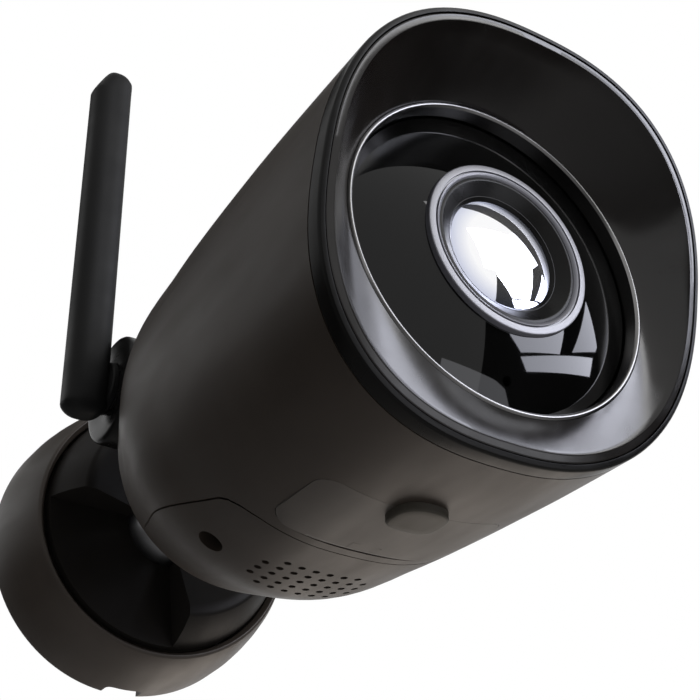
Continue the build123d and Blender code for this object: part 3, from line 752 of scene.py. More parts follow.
@dataclass
class CameraBody:
    """Body shell, tail cover with its screws, and the ring round the front edge."""

    profile: tuple[Corner, ...] = (
        (41.6, -24.0, 0.0), (41.3, 4.0, 0.0), (39.8, 30.0, 0.0), (38.1, 56.0, 0.0), (36.2, 74.0, 0.0),
        (32.2, 85.0, 0.2), (25.0, 100.0, 0.5), (19.4, 105.4, 0.9), (11.5, 110.0, 1.8))
    wall: float = 2.4
    merge: float = 1.2
    trim_depth: float = 3.5
    trim_width: float = 1.0
    straight: float = 24.0
    tail: float = 110.0
    tail_hole: float = 9.1
    door_half_width: float = 18.58
    door_stations: tuple[float, float] = (25.92, 45.5)
    door_corner: float = 4.0
    cover_front: float = 48.0
    cover_height: float = -31.0
    cover_rise: float = 0.25
    cover_corner: float = 5.0
    cover_gap: float = 0.25
    screw_station: float = 65.8
    screw_angle: float = 31.0
    recess_radius: float = 2.6
    recess_wall: float = 4.2
    hole_pitch: float = 3.0
    hole_radius: float = 0.7
    hole_station: float = 63.5
    boss_radius: float = 9.5
    boss_bore: float = 4.0
    root_length: float = 13.0
    root_grow: float = 5.0
    collar_length: float = 8.0
    collar_grow: float = 2.5
    collar_out: float = 1.3
    seal_radius: float = 5.65
    seal_depth: float = 1.8

    def front(self) -> float:
        """Station of the shell's front edge on the axis."""
        return RIM + self.trim_depth + 0.05

    def side(self, inset: float) -> list[tuple[float, float]]:
        """Smooth run of the turned form that trims the body.

        Args:
            inset: Distance inside the outer surface.

        Returns:
            Radius and station of each ring, from the front edge to the tail.
        """
        points = [Vector((radius - inset, station - pull * inset)) for radius, station, pull in self.profile]
        chords = [(two - one).length for one, two in zip(points, points[1:])]
        ways = [Vector((0.0, 1.0))]
        for step in range(1, len(points) - 1):
            before = (points[step] - points[step - 1]) / chords[step - 1]
            after = (points[step + 1] - points[step]) / chords[step]
            total = chords[step - 1] + chords[step]
            ways.append((before * chords[step] + after * chords[step - 1]) / total)
        ways.append(Vector((-1.0, 0.12)).normalized())
        run: list[tuple[float, float]] = []
        for step, chord in enumerate(chords):
            for count in range(8):
                share = count / 8
                cube = share ** 3
                square = share ** 2
                place = (points[step] * (2 * cube - 3 * square + 1)
                         + points[step + 1] * (3 * square - 2 * cube)
                         + ways[step] * chord * (cube - 2 * square + share)
                         + ways[step + 1] * chord * (cube - square))
                run.append((place.x, place.y))
        run.append(tuple(points[-1]))
        start = [(run[0][0], self.front())]
        return start + [place for place in run if place[1] > self.front() + 1.0]

    def ring(self, radius: float, station: float, inset: float) -> Ring:
        """Ring of the body: the squarish loop and the turned form, blended where they cross.

        Args:
            radius: Radius of the turned form.
            station: Station of the ring on the axis.
            inset: Distance inside the outer surface.

        Returns:
            Function that gives the ring's point at an angle.
        """
        loop = Loop(HALF_WIDTH - inset, HALF_HEIGHT - inset, POWER, station)
        share = (self.straight - station) / (self.straight - self.front())
        lean = SLANT * min(1.0, max(0.0, share))

        def point(angle: float) -> Vector:
            """Point of the ring at an angle."""
            reach = loop.reach(angle)
            mix = min(1.0, max(0.0, 0.5 + 0.5 * (radius - reach) / self.merge))
            reach = radius + (reach - radius) * mix - self.merge * mix * (1.0 - mix)
            z = reach * math.sin(angle)
            return spot(reach * math.cos(angle), station - lean * z, z)

        return point

    def hull(self) -> Mesh:
        """Whole body wall, before the door and the cover are cut out of it."""
        rings = [self.ring(radius, station, 0.0) for radius, station in self.side(0.0)]
        rings.append(Loop(self.tail_hole, self.tail_hole, 2.0, self.tail).point)
        inside = [self.ring(radius, station, self.wall) for radius, station in self.side(self.wall)]
        return tube_of_rings(rings + inside[::-1], 144)

    def cavity(self) -> Mesh:
        """Space inside the body wall."""
        rings = [self.ring(radius, station, self.wall) for radius, station in self.side(self.wall)]
        return tube_of_rings(rings, 96, closed=False)

    def door_hole(self) -> Mesh:
        """Space of the door with the gap round it."""
        near, far = self.door_stations
        outline = oblong(self.door_half_width, near, far, -50.0)
        return slab(outline, Vector((0.0, 0.0, 30.0 * MM)), [self.door_corner] * 4)

    def cover_space(self, grow: float) -> Mesh:
        """Space of the tail cover.

        Args:
            grow: Distance that the space is grown by.

        Returns:
            The new mesh.
        """
        near = self.cover_front - grow
        top = self.cover_height + grow
        far = self.tail + 20.0
        rise = self.cover_rise * (far - self.cover_front)
        outline = [spot(-60.0, near, top), spot(-60.0, far, top + rise), spot(-60.0, far, -60.0),
                   spot(-60.0, near, -60.0)]
        return slab(outline, Vector((120.0 * MM, 0.0, 0.0)), (self.cover_corner,))

    def screw_line(self, side: int) -> tuple[Vector, Vector]:
        """Foot and way of a tail screw, on side -1 or 1."""
        turn = math.radians(self.screw_angle)
        return spot(0.0, self.screw_station, 0.0), Vector((side * math.sin(turn), 0.0, -math.cos(turn)))

    def shell(self) -> Mesh:
        """Main shell with the antenna's boss."""
        form = carve(self.hull(), self.door_hole(), Cut.TAKE)
        form = carve(form, self.cover_space(self.cover_gap), Cut.TAKE)
        foot = spot(0.0, HUB_STATION, HUB_HEIGHT)
        near = BOSS_FACE + self.collar_length
        far = BOSS_FACE + self.root_length
        corners = [(0.0, near, 0.0), (self.boss_radius + self.collar_grow, near, 0.0),
                   (self.boss_radius + self.root_grow, far, 0.0), (0.0, far, 0.0)]
        root = stand(turned(corners, 72, closed=False), foot, ACROSS)
        form = carve(form, carve(root, self.cavity(), Cut.TAKE), Cut.ADD)
        return carve(form, rod(self.boss_bore, foot, ACROSS, -45.0, -10.0), Cut.TAKE)

    def boss_collar(self) -> Mesh:
        """End of the antenna's boss, recessed for its seal, finished black as painted shade where the knuckle
        shades the boss.
        """
        front = BOSS_FACE - self.collar_out
        seat = BOSS_FACE + self.seal_depth
        back = BOSS_FACE + self.collar_length - 0.05
        radius = self.boss_radius + self.collar_grow
        corners = [(self.seal_radius, front, 0.1), (radius - 0.2, front, 1.3), (radius - 0.1, back, 0.0),
                   (self.boss_bore, back, 0.0), (self.boss_bore, seat, 0.0), (self.seal_radius, seat, 0.0)]
        return stand(turned(corners, 72), spot(0.0, HUB_STATION, HUB_HEIGHT), ACROSS)

    def cover(self) -> Mesh:
        """Tail cover with the speaker holes and the screw recesses."""
        form = carve(self.hull(), self.cover_space(0.0), Cut.KEEP)
        holes = []
        for column in range(8):
            for row in range(1, 4) if column in (0, 7) else range(5):
                along = self.hole_station + (row - 2) * self.hole_pitch
                foot = spot((column - 3.5) * self.hole_pitch, along, 0.0)
                holes.append(rod(self.hole_radius, foot, Vector((0.0, 0.0, -1.0)), 25.0, 45.0, 20))
        form = carve(form, gather(holes), Cut.TAKE)
        for side in (-1, 1):
            foot, way = self.screw_line(side)
            form = carve(form, rod(self.recess_wall, foot, way, 29.5, 35.2), Cut.ADD)
            form = carve(form, rod(self.recess_radius, foot, way, 31.0, 45.0), Cut.TAKE)
        return form

    def screw_head(self, side: int) -> Mesh:
        """Cross-head screw in one recess.

        Args:
            side: -1 or 1.

        Returns:
            The new mesh.
        """
        foot, way = self.screw_line(side)
        corners = [(0.0, 17.0, 0.0), (1.05, 17.0, 0.0), (1.05, 31.05, 0.0), (2.3, 31.05, 0.0),
                   (2.3, 32.3, 0.0), (2.05, 32.65, 0.0), (1.6, 32.8, 0.0), (0.0, 32.8, 0.0)]
        head = turned(corners, 48, closed=False)
        for turn in (0.0, math.pi / 2):
            square = ((-1.4, -0.3), (1.4, -0.3), (1.4, 0.3), (-1.4, 0.3))
            slot = [Vector((x * MM, 31.9 * MM, z * MM)) for x, z in square]
            bar = slab(slot, Vector((0.0, 2.0 * MM, 0.0)))
            bmesh.ops.rotate(bar, verts=bar.verts[:], cent=(0.0, 0.0, 0.0),
                             matrix=Matrix.Rotation(turn, 3, "Y"))
            head = carve(head, bar, Cut.TAKE)
        return stand(head, foot, way)

    def trim(self) -> Mesh:
        """Black ring round the front edge."""
        width = self.trim_width
        back = RIM + self.trim_depth
        rows = ((width, RIM), (0.75, RIM), (0.3, RIM + 0.12), (0.08, RIM + 0.4),
                (0.0, RIM + 0.8), (0.0, back - 0.25), (0.15, back), (width, back))
        loops = [Loop(HALF_WIDTH - inset, HALF_HEIGHT - inset, POWER, station, SLANT)
                 for inset, station in rows]
        return tube_of_rings([loop.point for loop in loops], 160)

    def build(self, wardrobe: Wardrobe) -> None:
        """Makes and dresses the pieces of the body."""
        wardrobe.piece("body_shell", self.shell(), "shell_plastic", Body.CAMERA, "main_shell")
        # The boss end's black finish is painted shade cast by the antenna's knuckle, not the shell's own
        # colour
        wardrobe.piece("antenna_boss_painted_shade", self.boss_collar(), "trim_black", Body.CAMERA)
        wardrobe.piece("tail_panel", self.cover(), "shell_plastic", Body.CAMERA, "tail_cover")
        heads = gather([self.screw_head(side) for side in (-1, 1)])
        wardrobe.piece("tail_screw_heads", heads, "screw_steel", Body.CAMERA, "tail_screws")
        wardrobe.piece("front_trim", self.trim(), "trim_black", Body.CAMERA, "front_trim_ring")


@dataclass
class FrontFace:
    """Hollowed face, bright ring, dark window and the lens with its ring and cone."""

    ring_radius: float = 30.0
    wide: float = 37.35
    high: float = 36.05
    lip: float = 1.2
    dome_radius: float = 75.0
    dome_edge: float = 29.0
    dome_edge_station: float = 3.0
    dome_wall: float = 2.0
    lens_ring: float = 16.2
    lens_ring_bore: float = 13.9
    lens_radius: float = 10.3
    lens_swell: float = 30.4
    mic_drop: float = 24.0

    def funnel(self) -> Mesh:
        """Face that is deep under the top edge and nearly flat at the bottom."""
        bore = self.ring_radius + 0.45
        inner = Loop(bore, bore, 2.0, 0.0)
        middle = Loop(33.2, 32.6, 2.2, -2.4, 0.45 * SLANT)
        outer = Loop(self.wide - self.lip, self.high - self.lip, POWER, RIM, SLANT)
        loops = [between((inner, middle, outer), step / 14) for step in range(14)]
        rows = ((1.32, -0.10), (1.12, 0.0), (0.3, 0.0), (0.08, 0.12), (0.0, 0.4), (0.0, 3.5), (1.75, 3.5))
        loops += [Loop(self.wide - inset, self.high - inset, POWER, RIM + drop, SLANT)
                  for inset, drop in rows]
        loops += [Loop(35.6, 34.3, POWER, 12.0), Loop(bore, bore, 2.0, 12.0), Loop(bore, bore, 2.0, 0.3)]
        return tube_of_rings([loop.point for loop in loops], 192)

    def window_ring(self) -> Mesh:
        """Bright ring with the recess wall behind it."""
        outer = self.ring_radius + 0.4
        inner = self.dome_edge + 0.35
        corners = [(inner, 0.1, 0.0), (inner + 0.35, -0.35, 0.2), (outer - 0.35, -0.35, 0.15),
                   (outer, 0.1, 0.1), (outer, 9.9, 0.0), (inner, 9.9, 0.0)]
        return lathe(corners, 192)

    def window(self) -> Mesh:
        """Dark domed window with the lens opening and the microphone hole."""
        centre = self.dome_edge_station + math.sqrt(self.dome_radius ** 2 - self.dome_edge ** 2)
        bore = self.lens_ring + 0.05
        inner = self.dome_radius - self.dome_wall
        corners = arc(centre, self.dome_radius, bore, self.dome_edge, 30)
        foot = self.dome_edge + 0.2
        corners += [(foot, self.dome_edge_station + 0.3, 0.0), (foot, 10.0, 0.0), (26.5, 10.0, 0.0)]
        corners += arc(centre, inner, 26.3, bore, 12)
        form = lathe(corners, 192)
        hole = rod(0.8, spot(0.0, 0.0, -self.mic_drop), FORWARD, -10.0, 12.0, 24)
        return carve(form, hole, Cut.TAKE)

    def ring(self) -> Mesh:
        """Light ring round the lens, with a groove."""
        edge = self.lens_ring
        bore = self.lens_ring_bore
        corners = [(bore, -1.75, 0.0), (bore + 0.25, -2.0, 0.1), (14.6, -2.2, 0.05), (14.65, -1.8, 0.0),
                   (14.9, -1.8, 0.0), (14.95, -2.2, 0.05), (edge - 0.12, -2.1, 0.08), (edge, -1.95, 0.05),
                   (edge, 2.0, 0.0), (bore, 2.0, 0.0)]
        return lathe(corners, 160)

    def cone(self) -> Mesh:
        """Cone that leads in to the lens, with fine steps."""
        outer = self.lens_ring_bore - 0.05
        bore = self.lens_radius + 0.05
        corners = [(outer, -1.7, 0.0), (outer, 2.0, 0.0), (bore, 2.0, 0.0), (bore, 0.15, 0.08)]
        corners += [(10.95, -0.32, 0.0), (11.05, -0.32, 0.0), (outer - 0.5, -1.8, 0.15)]
        return lathe(corners, 160)

    def lens(self) -> Mesh:
        """Front lens, swelling forward."""
        centre = 0.2 + math.sqrt(self.lens_swell ** 2 - self.lens_radius ** 2)
        corners = arc(centre, self.lens_swell, 0.0, self.lens_radius, 24)
        corners += [(self.lens_radius, 2.2, 0.0), (self.lens_radius - 0.3, 2.5, 0.0), (0.0, 2.5, 0.0)]
        return lathe(corners, 128, closed=False)

    def build(self, wardrobe: Wardrobe) -> None:
        """Makes and dresses the pieces of the face."""
        wardrobe.piece("funnel_face", self.funnel(), "funnel_black", Body.CAMERA, "bezel_funnel")
        wardrobe.piece("window_ring", self.window_ring(), "bright_ring", Body.CAMERA, "bezel_ring")
        wardrobe.piece("dark_window", self.window(), "dome_smoke", Body.CAMERA, "dome_window")
        wardrobe.piece("lens_trim", self.ring(), "lens_ring_grey", Body.CAMERA, "lens_ring")
        wardrobe.piece("lens_cone", self.cone(), "trim_black", Body.CAMERA, "lens_hood")
        wardrobe.piece("lens_face", self.lens(), "lens_glass", Body.CAMERA, "front_lens")


@dataclass
class CardDoor:
    """Door over the card pocket, with its pull."""

    pull_station: float = 26.5
    pull_half_width: float = 4.9
    pull_half_length: float = 4.7
    pull_thick: float = 1.5
    patch_half_width: float = 3.0
    patch_stations: tuple[float, float] = (42.3, 44.6)
    patch_thick: float = 0.1

    def panel(self) -> Mesh:
        """Door panel with its hinge, from the merged solid, and a thin patch over the hinge's slit."""
        form = bmesh.new()
        form.from_mesh(frame["nodes"]["card_door"].data)
        bmesh.ops.remove_doubles(form, verts=form.verts[:], dist=WELD)
        outline = oblong(self.patch_half_width, *self.patch_stations, 0.01 - HALF_HEIGHT)
        return gather([form, slab(outline, Vector((0.0, 0.0, self.patch_thick * MM)))])

    def pull(self) -> Mesh:
        """Oval pull with a crowned face and a round edge."""
        rows = ((1.0, 0.35), (1.0, -1.0), (0.985, -1.25), (0.95, -1.42), (0.9, -self.pull_thick),
                (0.6, -1.46), (0.3, -1.42), (0.02, -1.4))

        def row(share: float, rise: float) -> Ring:
            """Ring of the pull at a share of its size and a height over the belly."""
            def point(angle: float) -> Vector:
                """Point of the ring, on the belly's curve."""
                power = 2.3 if math.sin(angle) < 0.0 else 3.6
                reach = (abs(math.cos(angle)) ** power + abs(math.sin(angle)) ** power) ** (-1.0 / power)
                x = self.pull_half_width * share * reach * math.cos(angle)
                along = self.pull_half_length * share * reach * math.sin(angle)
                curve = HALF_HEIGHT * (1.0 - (abs(x) / HALF_WIDTH) ** POWER) ** (1 / POWER)
                return spot(x, self.pull_station + along, rise - curve)
            return point

        return tube_of_rings([row(share, rise) for share, rise in rows], 72, closed=False)

    def build(self, wardrobe: Wardrobe) -> None:
        """Makes and dresses the door."""
        wardrobe.piece("door_panel", self.panel(), "door_plastic", Body.DOOR, "card_door")
        wardrobe.piece("door_pull", self.pull(), "tab_plastic", Body.DOOR, "door_tab")


@dataclass
class Antenna:
    """Flat antenna blade on its knuckle."""

    x: float = -37.8
    half_width: float = 5.1
    half_tip: float = 4.6
    below: float = 8.0
    above: float = 84.2
    half_thick: float = 3.8
    foot_round: float = 4.3
    edge: float = 2.6
    section: float = 2.9
    lean: float = 1.7
    hub_start: float = 4.0
    hub_radius: float = 5.5

    def sides(self, z: float) -> tuple[float, float]:
        """Left and right limit of the blade at a height over its hub.

        Args:
            z: Height in millimetres.

        Returns:
            X of the left and of the right side, about the hub.
        """
        taper = (z + self.below) / (self.above + self.below)
        half = self.half_width + (self.half_tip - self.half_width) * taper
        low = max(0.0, self.foot_round - (z + self.below))
        foot = self.foot_round - math.sqrt(max(0.0, self.foot_round ** 2 - low ** 2))
        left = -half + foot
        right = half - foot
        fall = self.above - z
        left = max(left, -0.8 - 3.8 * min(1.0, (fall + 0.35) / 6.5) ** 0.8)
        right = min(right, 1.6 + 3.0 * min(1.0, (fall + 0.3) / 3.0) ** 0.7)
        return left, right

    def ring(self, z: float) -> Ring:
        """Section of the blade at a height over its hub.

        Args:
            z: Height in millimetres.

        Returns:
            Function that gives the section's point at an angle.
        """
        left, right = self.sides(z)
        near_end = max(0.0, self.edge - min(z + self.below, self.above - z))
        thick = self.half_thick - self.edge + math.sqrt(max(0.0, self.edge ** 2 - near_end ** 2))
        lean = Matrix.Rotation(math.radians(-self.lean), 3, "Y")

        def point(angle: float) -> Vector:
            """Point of the section at an angle."""
            cosine = math.cos(angle)
            sine = math.sin(angle)
            reach = (abs(cosine) ** self.section + abs(sine) ** self.section) ** (-1.0 / self.section)
            x = (left + right) / 2 + (right - left) / 2 * reach * cosine
            place = lean @ Vector((x * MM, thick * reach * sine * MM, z * MM))
            return place + spot(self.x, HUB_STATION, HUB_HEIGHT)

        return point

    def blade(self) -> Mesh:
        """Blade with round edges and a slanted tip."""
        rise = [self.edge * (1.0 - math.cos(math.pi * step / 16)) for step in range(9)]
        heights = [-self.below + step for step in rise] + [-4.5 + step * 0.8 for step in range(2)]
        heights += [-2.0 + (self.above - 7.0) * step / 14 for step in range(14)]
        heights += [self.above - 7.2 + step * 0.5 for step in range(9)]
        heights += [self.above - step for step in rise[::-1]]
        return tube_of_rings([self.ring(z) for z in heights], 72, closed=False)

    def knuckle(self) -> Mesh:
        """Hub that the blade turns on, with a groove and its shaft."""
        start = self.x + self.hub_start
        end = BOSS_FACE - 0.4
        radius = self.hub_radius
        corners = [(1.2, start, 0.0), (radius - 0.3, start, 0.0), (radius, start + 0.3, 0.0),
                   (radius, end - 0.9, 0.0), (radius - 0.35, end - 0.8, 0.0),
                   (radius - 0.35, end - 0.5, 0.0), (radius, end - 0.4, 0.0), (radius - 0.2, end, 0.0),
                   (3.95, end, 0.0), (3.95, -16.0, 0.0), (1.2, -16.0, 0.0)]
        foot = spot(0.0, HUB_STATION, HUB_HEIGHT)
        return stand(turned(corners, 64), foot, ACROSS)

    def build(self, wardrobe: Wardrobe) -> None:
        """Makes and dresses the antenna."""
        wardrobe.piece("antenna_blade", self.blade(), "antenna_plastic", Body.ANTENNA, "antenna_paddle")
        wardrobe.piece("antenna_knuckle", self.knuckle(), "antenna_plastic", Body.ANTENNA, "antenna_hub")


@dataclass
class WallMount:
    """Cup on the wall, the notched socket that turns in it, the ball neck and its lock nut."""

    ball_station: float = 132.5
    ball_radius: float = 10.5
    neck_radius: float = 6.5
    stud_radius: float = 4.98
    bore: float = 3.0
    cup_rim: float = 130.5
    cup_bore: float = 11.06
    cup_floor: tuple[float, float] = (148.4, 146.0)
    collar_radius: float = 30.0
    collar_front: float = 120.5
    notch: tuple[float, float] = (180.0, 276.0)
    nut_radius: float = 11.0
    groove_ring: float = 11.4
    seat_radius: float = 10.56
    mouth_radius: float = 8.9
    cable_width: float = 9.0
    cable_depth: float = 4.5
    screw_ring: float = 24.0
    screw_angles: tuple[float, ...] = (40.0, 120.0, 320.0)
    cup_screw_ring: float = 19.3
    cup_screw_angles: tuple[float, ...] = (30.0, 150.0, 270.0)

    def cup(self) -> Mesh:
        """Cup with a floor, its screw holes and the cable notch."""
        back, floor = self.cup_floor
        corners = [(31.5, self.cup_rim, 0.2), (32.2, self.cup_rim + 0.3, 0.4), (33.3, 134.0, 0.0),
                   (34.2, 138.0, 0.0), (34.85, 142.0, 0.0), (35.3, 146.0, 0.0), (35.5, 152.4, 0.3),
                   (35.3, RING_OUT, 0.0), (33.3, RING_OUT, 0.0), (33.3, back, 0.0),
                   (self.cup_bore, back, 0.0), (self.cup_bore, floor, 0.0),
                   (30.6, floor, 0.0), (30.6, 132.0, 0.0)]
        form = lathe(corners, 144)
        outline = oblong(self.cable_width / 2, RING_OUT - self.cable_depth, RING_OUT + 2.0, -45.0)
        form = carve(form, slab(outline, Vector((0.0, 0.0, 25.0 * MM)), (1.5, 1.5)), Cut.TAKE)
        for degrees in self.cup_screw_angles:
            foot = on_circle(self.cup_screw_ring, degrees)
            form = carve(form, rod(1.55, foot, FORWARD, 140.0, 150.0), Cut.TAKE)
            form = carve(form, rod(2.7, foot, FORWARD, 140.0, 147.7), Cut.TAKE)
        return form

    def collar(self) -> Mesh:
        """Front half of the socket, cut away over one quarter."""
        split = self.ball_station - 0.05
        front = self.collar_front
        seat = arc(self.ball_station, self.seat_radius, self.mouth_radius, self.seat_radius - 0.01, 8)
        corners = seat + [(self.collar_radius, split, 0.0), (self.collar_radius, 131.5, 0.0),
                          (29.6, 129.6, 0.0), (28.9, 127.5, 0.0), (27.4, 124.2, 0.0),
                          (25.0, front, 0.7), (22.8, front, 0.7)]
        form = lathe(corners, 144)
        floor = [(0.0, 110.0, 0.0), (40.0, 110.0, 0.0), (40.0, 130.3, 0.0), (26.0, 130.3, 0.0),
                 (9.0, 130.9, 0.0), (0.0, 130.9, 0.0)]
        low = lathe(floor, 96, closed=False)
        first, last = self.notch
        edge = [on_circle(70.0, first + (last - first) * step / 2) for step in range(3)]
        sector = slab([spot(0.0, 0.0, 0.0)] + edge, Vector((0.0, 40.0 * MM, 0.0)))
        bmesh.ops.translate(sector, verts=sector.verts[:], vec=(0.0, 105.0 * MM, 0.0))
        form = carve(form, carve(low, sector, Cut.KEEP), Cut.TAKE)
        for degrees in self.screw_angles:
            hole = rod(1.35, on_circle(self.screw_ring, degrees), FORWARD, 128.9, 135.0)
            form = carve(form, hole, Cut.TAKE)
        return form

    def neck(self) -> Mesh:
        """Ball, neck and stud, bored for the cable."""
        lead = self.ball_station - math.sqrt(self.ball_radius ** 2 - self.neck_radius ** 2)
        corners = [(self.bore, 98.5, 0.0), (self.stud_radius, 98.5, 0.3), (self.stud_radius, 114.0, 0.0),
                   (self.neck_radius, 114.5, 0.3), (self.neck_radius, lead, 0.0)]
        corners += arc(self.ball_station, self.ball_radius, self.neck_radius, self.ball_radius, 8)[1:]
        corners += arc(self.ball_station, -self.ball_radius, self.ball_radius, self.bore, 14)[1:]
        return lathe(corners, 96)

    def nut(self) -> Mesh:
        """Lock nut with finger grooves."""
        radius = self.nut_radius
        corners = [(5.01, 110.3, 0.0), (radius, 110.3, 0.4), (radius, 113.6, 0.4), (5.01, 113.6, 0.0)]
        form = lathe(corners, 96)
        cuts = [rod(1.6, on_circle(self.groove_ring, 45.0 * step), FORWARD, 105.0, 118.0, 24)
                for step in range(8)]
        return carve(form, gather(cuts), Cut.TAKE)

    def build(self, wardrobe: Wardrobe) -> None:
        """Makes and dresses the mount."""
        wardrobe.piece("mount_cup", self.cup(), "mount_plastic", Body.WALL, "base_cup")
        # The socket collar's near-black finish is painted shade, not a darker plastic
        wardrobe.piece("socket_collar", self.collar(), "collar_plastic", Body.SWIVEL, "socket_dome")
        wardrobe.piece("ball_neck", self.neck(), "stud_metal", Body.BALL, "ball_stud")
        wardrobe.piece("lock_nut", self.nut(), "stud_metal", Body.BALL, "lock_ring")


# Directions from the face to the corners of each window pane, with the pane's glow
PANES = (
    (((0.30, -0.80, 0.52), (0.42, -0.87, 0.27), (0.60, -0.79, 0.12), (0.77, -0.61, 0.21),
      (0.74, -0.45, 0.50)), 12.0),
    (((0.78, -0.21, 0.59), (0.80, -0.05, 0.60), (0.88, -0.36, 0.32), (0.81, -0.53, 0.25)), 8.0),
    (((0.60, -0.79, 0.10), (0.88, -0.39, 0.29), (0.88, -0.42, 0.21), (0.64, -0.77, 0.05)), 12.0),
    (((0.60, -0.30, 0.74), (0.67, -0.07, 0.74), (0.77, -0.05, 0.64), (0.74, -0.21, 0.64)), 4.0),
    (((0.30, -0.80, 0.52), (0.74, -0.45, 0.50), (0.775, -0.22, 0.592), (0.74, -0.21, 0.64),
      (0.60, -0.30, 0.74)), 3.0),
)
# Direction, half width and half height of each dark flag, in metres
FLAGS = (((-0.66, 0.72, -0.2), 0.45, 0.28), ((-0.1, 0.72, 0.75), 0.22, 0.2))


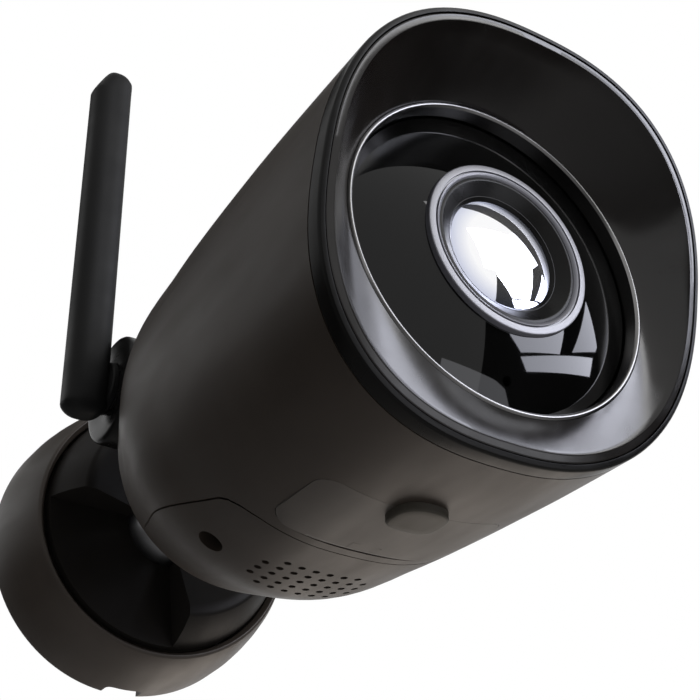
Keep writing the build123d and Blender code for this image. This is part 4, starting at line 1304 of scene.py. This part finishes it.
@dataclass
class Studio:
    """Camera, soft lights, reflection cards, white surround and pale floor."""

    eye: Vector = field(default_factory=lambda: Vector((-0.1146, -0.2897, -0.1270)))
    look: Vector = field(default_factory=lambda: Vector((0.4493, 0.7247, 0.5225)))
    up: Vector = field(default_factory=lambda: Vector((-0.2753, -0.4441, 0.8526)))
    lens: float = 66.86
    floor_height: float = -0.48
    surround: float = 0.18
    daylight: Colour = (0.86, 0.88, 1.0)
    card_reach: float = 0.8
    wall_reach: float = 0.9
    wall_turns: tuple[float, float, int] = (25.0, 8.5, 11)
    wall_lifts: tuple[float, float, int] = (-10.0, 9.0, 6)
    flag_station: float = 60.0

    def camera(self) -> None:
        """Sets the camera at the photograph's angle."""
        data = bpy.data.cameras.new("view")
        data.lens = self.lens
        data.sensor_width = 36.0
        data.clip_start = 0.01
        item = bpy.data.objects.new("view", data)
        look = self.look.normalized()
        right = look.cross(self.up).normalized()
        up = right.cross(look)
        turn = Matrix((right, up, -look)).transposed()
        item.matrix_world = Matrix.Translation(self.eye) @ turn.to_4x4()
        bpy.context.scene.collection.objects.link(item)
        bpy.context.scene.camera = item

    def softbox(self, name: str, way: Vector, reach: float, size: tuple[float, float], glow: float,
                colour: Colour = WHITE) -> None:
        """Adds a rectangular soft light aimed at the camera's face.

        Args:
            name: Name of the light.
            way: Direction from the face to the light.
            reach: Distance in metres.
            size: Width and height in metres.
            glow: Radiance of its surface.
            colour: Colour of the light.
        """
        data = bpy.data.lights.new(name, "AREA")
        data.shape = "RECTANGLE"
        data.size, data.size_y = size
        data.energy = glow * math.pi * size[0] * size[1]
        data.color = colour
        item = bpy.data.objects.new(name, data)
        face = spot(0.0, 20.0, 0.0)
        item.location = face + way.normalized() * reach
        item.rotation_euler = way.to_track_quat("Z", "Y").to_euler()
        item.visible_camera = False
        bpy.context.scene.collection.objects.link(item)

    def card(self, name: str, corners: Sequence[Vector], colour: Colour, glow: float) -> None:
        """Adds a flat card that only shows in reflections.

        Args:
            name: Name of the card.
            corners: Its corners.
            colour: Its colour.
            glow: Strength of its glow, or 0 for a dark flag.
        """
        form = bmesh.new()
        form.faces.new([form.verts.new(corner) for corner in corners])
        item = as_object(form, name)
        sheet = NodeSheet(name)
        sheet.fix(Base_Color=(*BLACK, 1.0), Specular_IOR_Level=0.0, Emission_Color=(*colour, 1.0),
                  Emission_Strength=glow)
        item.data.materials.append(sheet.material)
        for ray in ("camera", "diffuse", "shadow", "transmission", "volume_scatter"):
            setattr(item, "visible_" + ray, False)

    def window(self) -> None:
        """Adds the window whose panes shine on the dome, with a dark wall round it."""
        face = spot(0.0, 0.0, 0.0)
        for ways, glow in PANES:
            self.card("pane", [face + Vector(way) * self.card_reach for way in ways], self.daylight, glow)
        turns, lifts = ([math.radians(first + gap * step) for step in range(count)]
                        for first, gap, count in (self.wall_turns, self.wall_lifts))

        def way(turn: float, lift: float) -> Vector:
            """Point of the dark wall in a direction from the face."""
            flat = math.cos(lift)
            aim = Vector((flat * math.sin(turn), -flat * math.cos(turn), math.sin(lift)))
            return face + aim * self.wall_reach

        for left, right in zip(turns, turns[1:]):
            for low, high in zip(lifts, lifts[1:]):
                corners = [way(left, low), way(right, low), way(right, high), way(left, high)]
                self.card("window_wall", corners, BLACK, 0.0)

    def flags(self) -> None:
        """Adds the dark flags that keep the flanks deep."""
        for way, wide, high in FLAGS:
            aim = Vector(way).normalized()
            across = aim.cross(Vector((0.0, 0.0, 1.0))).normalized()
            upward = across.cross(aim)
            middle = spot(0.0, self.flag_station, 0.0) + aim * self.card_reach
            signs = ((-1, -1), (1, -1), (1, 1), (-1, 1))
            corners = [middle + across * wide * x + upward * high * z for x, z in signs]
            self.card("flag", corners, BLACK, 0.0)

    def world(self) -> None:
        """White surround for what is seen, softer for what lights the object."""
        world = bpy.data.worlds.new("surround")
        world.use_nodes = True
        bpy.context.scene.world = world
        nodes = world.node_tree.nodes
        links = world.node_tree.links
        seen = nodes["Background"]
        fill = nodes.new("ShaderNodeBackground")
        for background, strength in ((seen, 1.0), (fill, self.surround)):
            background.inputs["Color"].default_value = (*WHITE, 1.0)
            background.inputs["Strength"].default_value = strength
        path = nodes.new("ShaderNodeLightPath")
        first, second = nodes.new("ShaderNodeMath"), nodes.new("ShaderNodeMath")
        for node in (first, second):
            node.operation = "MAXIMUM"
        links.new(path.outputs["Is Camera Ray"], first.inputs[0])
        links.new(path.outputs["Is Glossy Ray"], first.inputs[1])
        links.new(first.outputs[0], second.inputs[0])
        links.new(path.outputs["Is Transmission Ray"], second.inputs[1])
        mix = nodes.new("ShaderNodeMixShader")
        links.new(second.outputs[0], mix.inputs["Fac"])
        links.new(fill.outputs[0], mix.inputs[1])
        links.new(seen.outputs[0], mix.inputs[2])
        links.new(mix.outputs[0], nodes["World Output"].inputs["Surface"])

    def floor(self) -> None:
        """Pale floor well below the camera, with a faint grain."""
        form = bmesh.new()
        bmesh.ops.create_grid(form, x_segments=1, y_segments=1, size=3.0)
        bmesh.ops.translate(form, verts=form.verts[:], vec=(0.0, 0.0, self.floor_height))
        item = as_object(form, "floor")
        sheet = NodeSheet("floor")
        sheet.fix(Roughness=0.9, Specular_IOR_Level=0.1)
        grain = sheet.noise(30.0, 4.0)
        sheet.feed("Base Color", sheet.colours(grain, ((0.3, (0.80, 0.80, 0.80)), (0.7, (0.84, 0.84, 0.84)))))
        item.data.materials.append(sheet.material)

    def build(self) -> None:
        """Sets up the studio."""
        bpy.context.scene.view_settings.view_transform = "Standard"
        self.camera()
        self.world()
        self.floor()
        self.window()
        self.flags()
        self.softbox("front_softbox", Vector((0.449, -0.725, 0.522)), 0.9, (0.5, 0.42), 7.0)
        self.softbox("front_panel", Vector((0.449, -0.866, -0.22)), 0.9, (0.5, 0.3), 3.2, (0.93, 0.94, 1.0))
        self.softbox("low_panel", Vector((0.6, 0.64, -0.42)), 0.75, (0.55, 0.36), 2.3, (1.0, 0.89, 0.79))


def main() -> None:
    """Builds the camera piece by piece, then the studio."""
    logging.basicConfig(level=logging.INFO, format="%(name)s %(message)s")
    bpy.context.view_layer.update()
    wardrobe = Wardrobe()
    CameraBody().build(wardrobe)
    FrontFace().build(wardrobe)
    CardDoor().build(wardrobe)
    Antenna().build(wardrobe)
    WallMount().build(wardrobe)
    wardrobe.dress_nodes()
    Studio().build()
    bpy.context.view_layer.update()


if __name__ == "__main__":
    main()
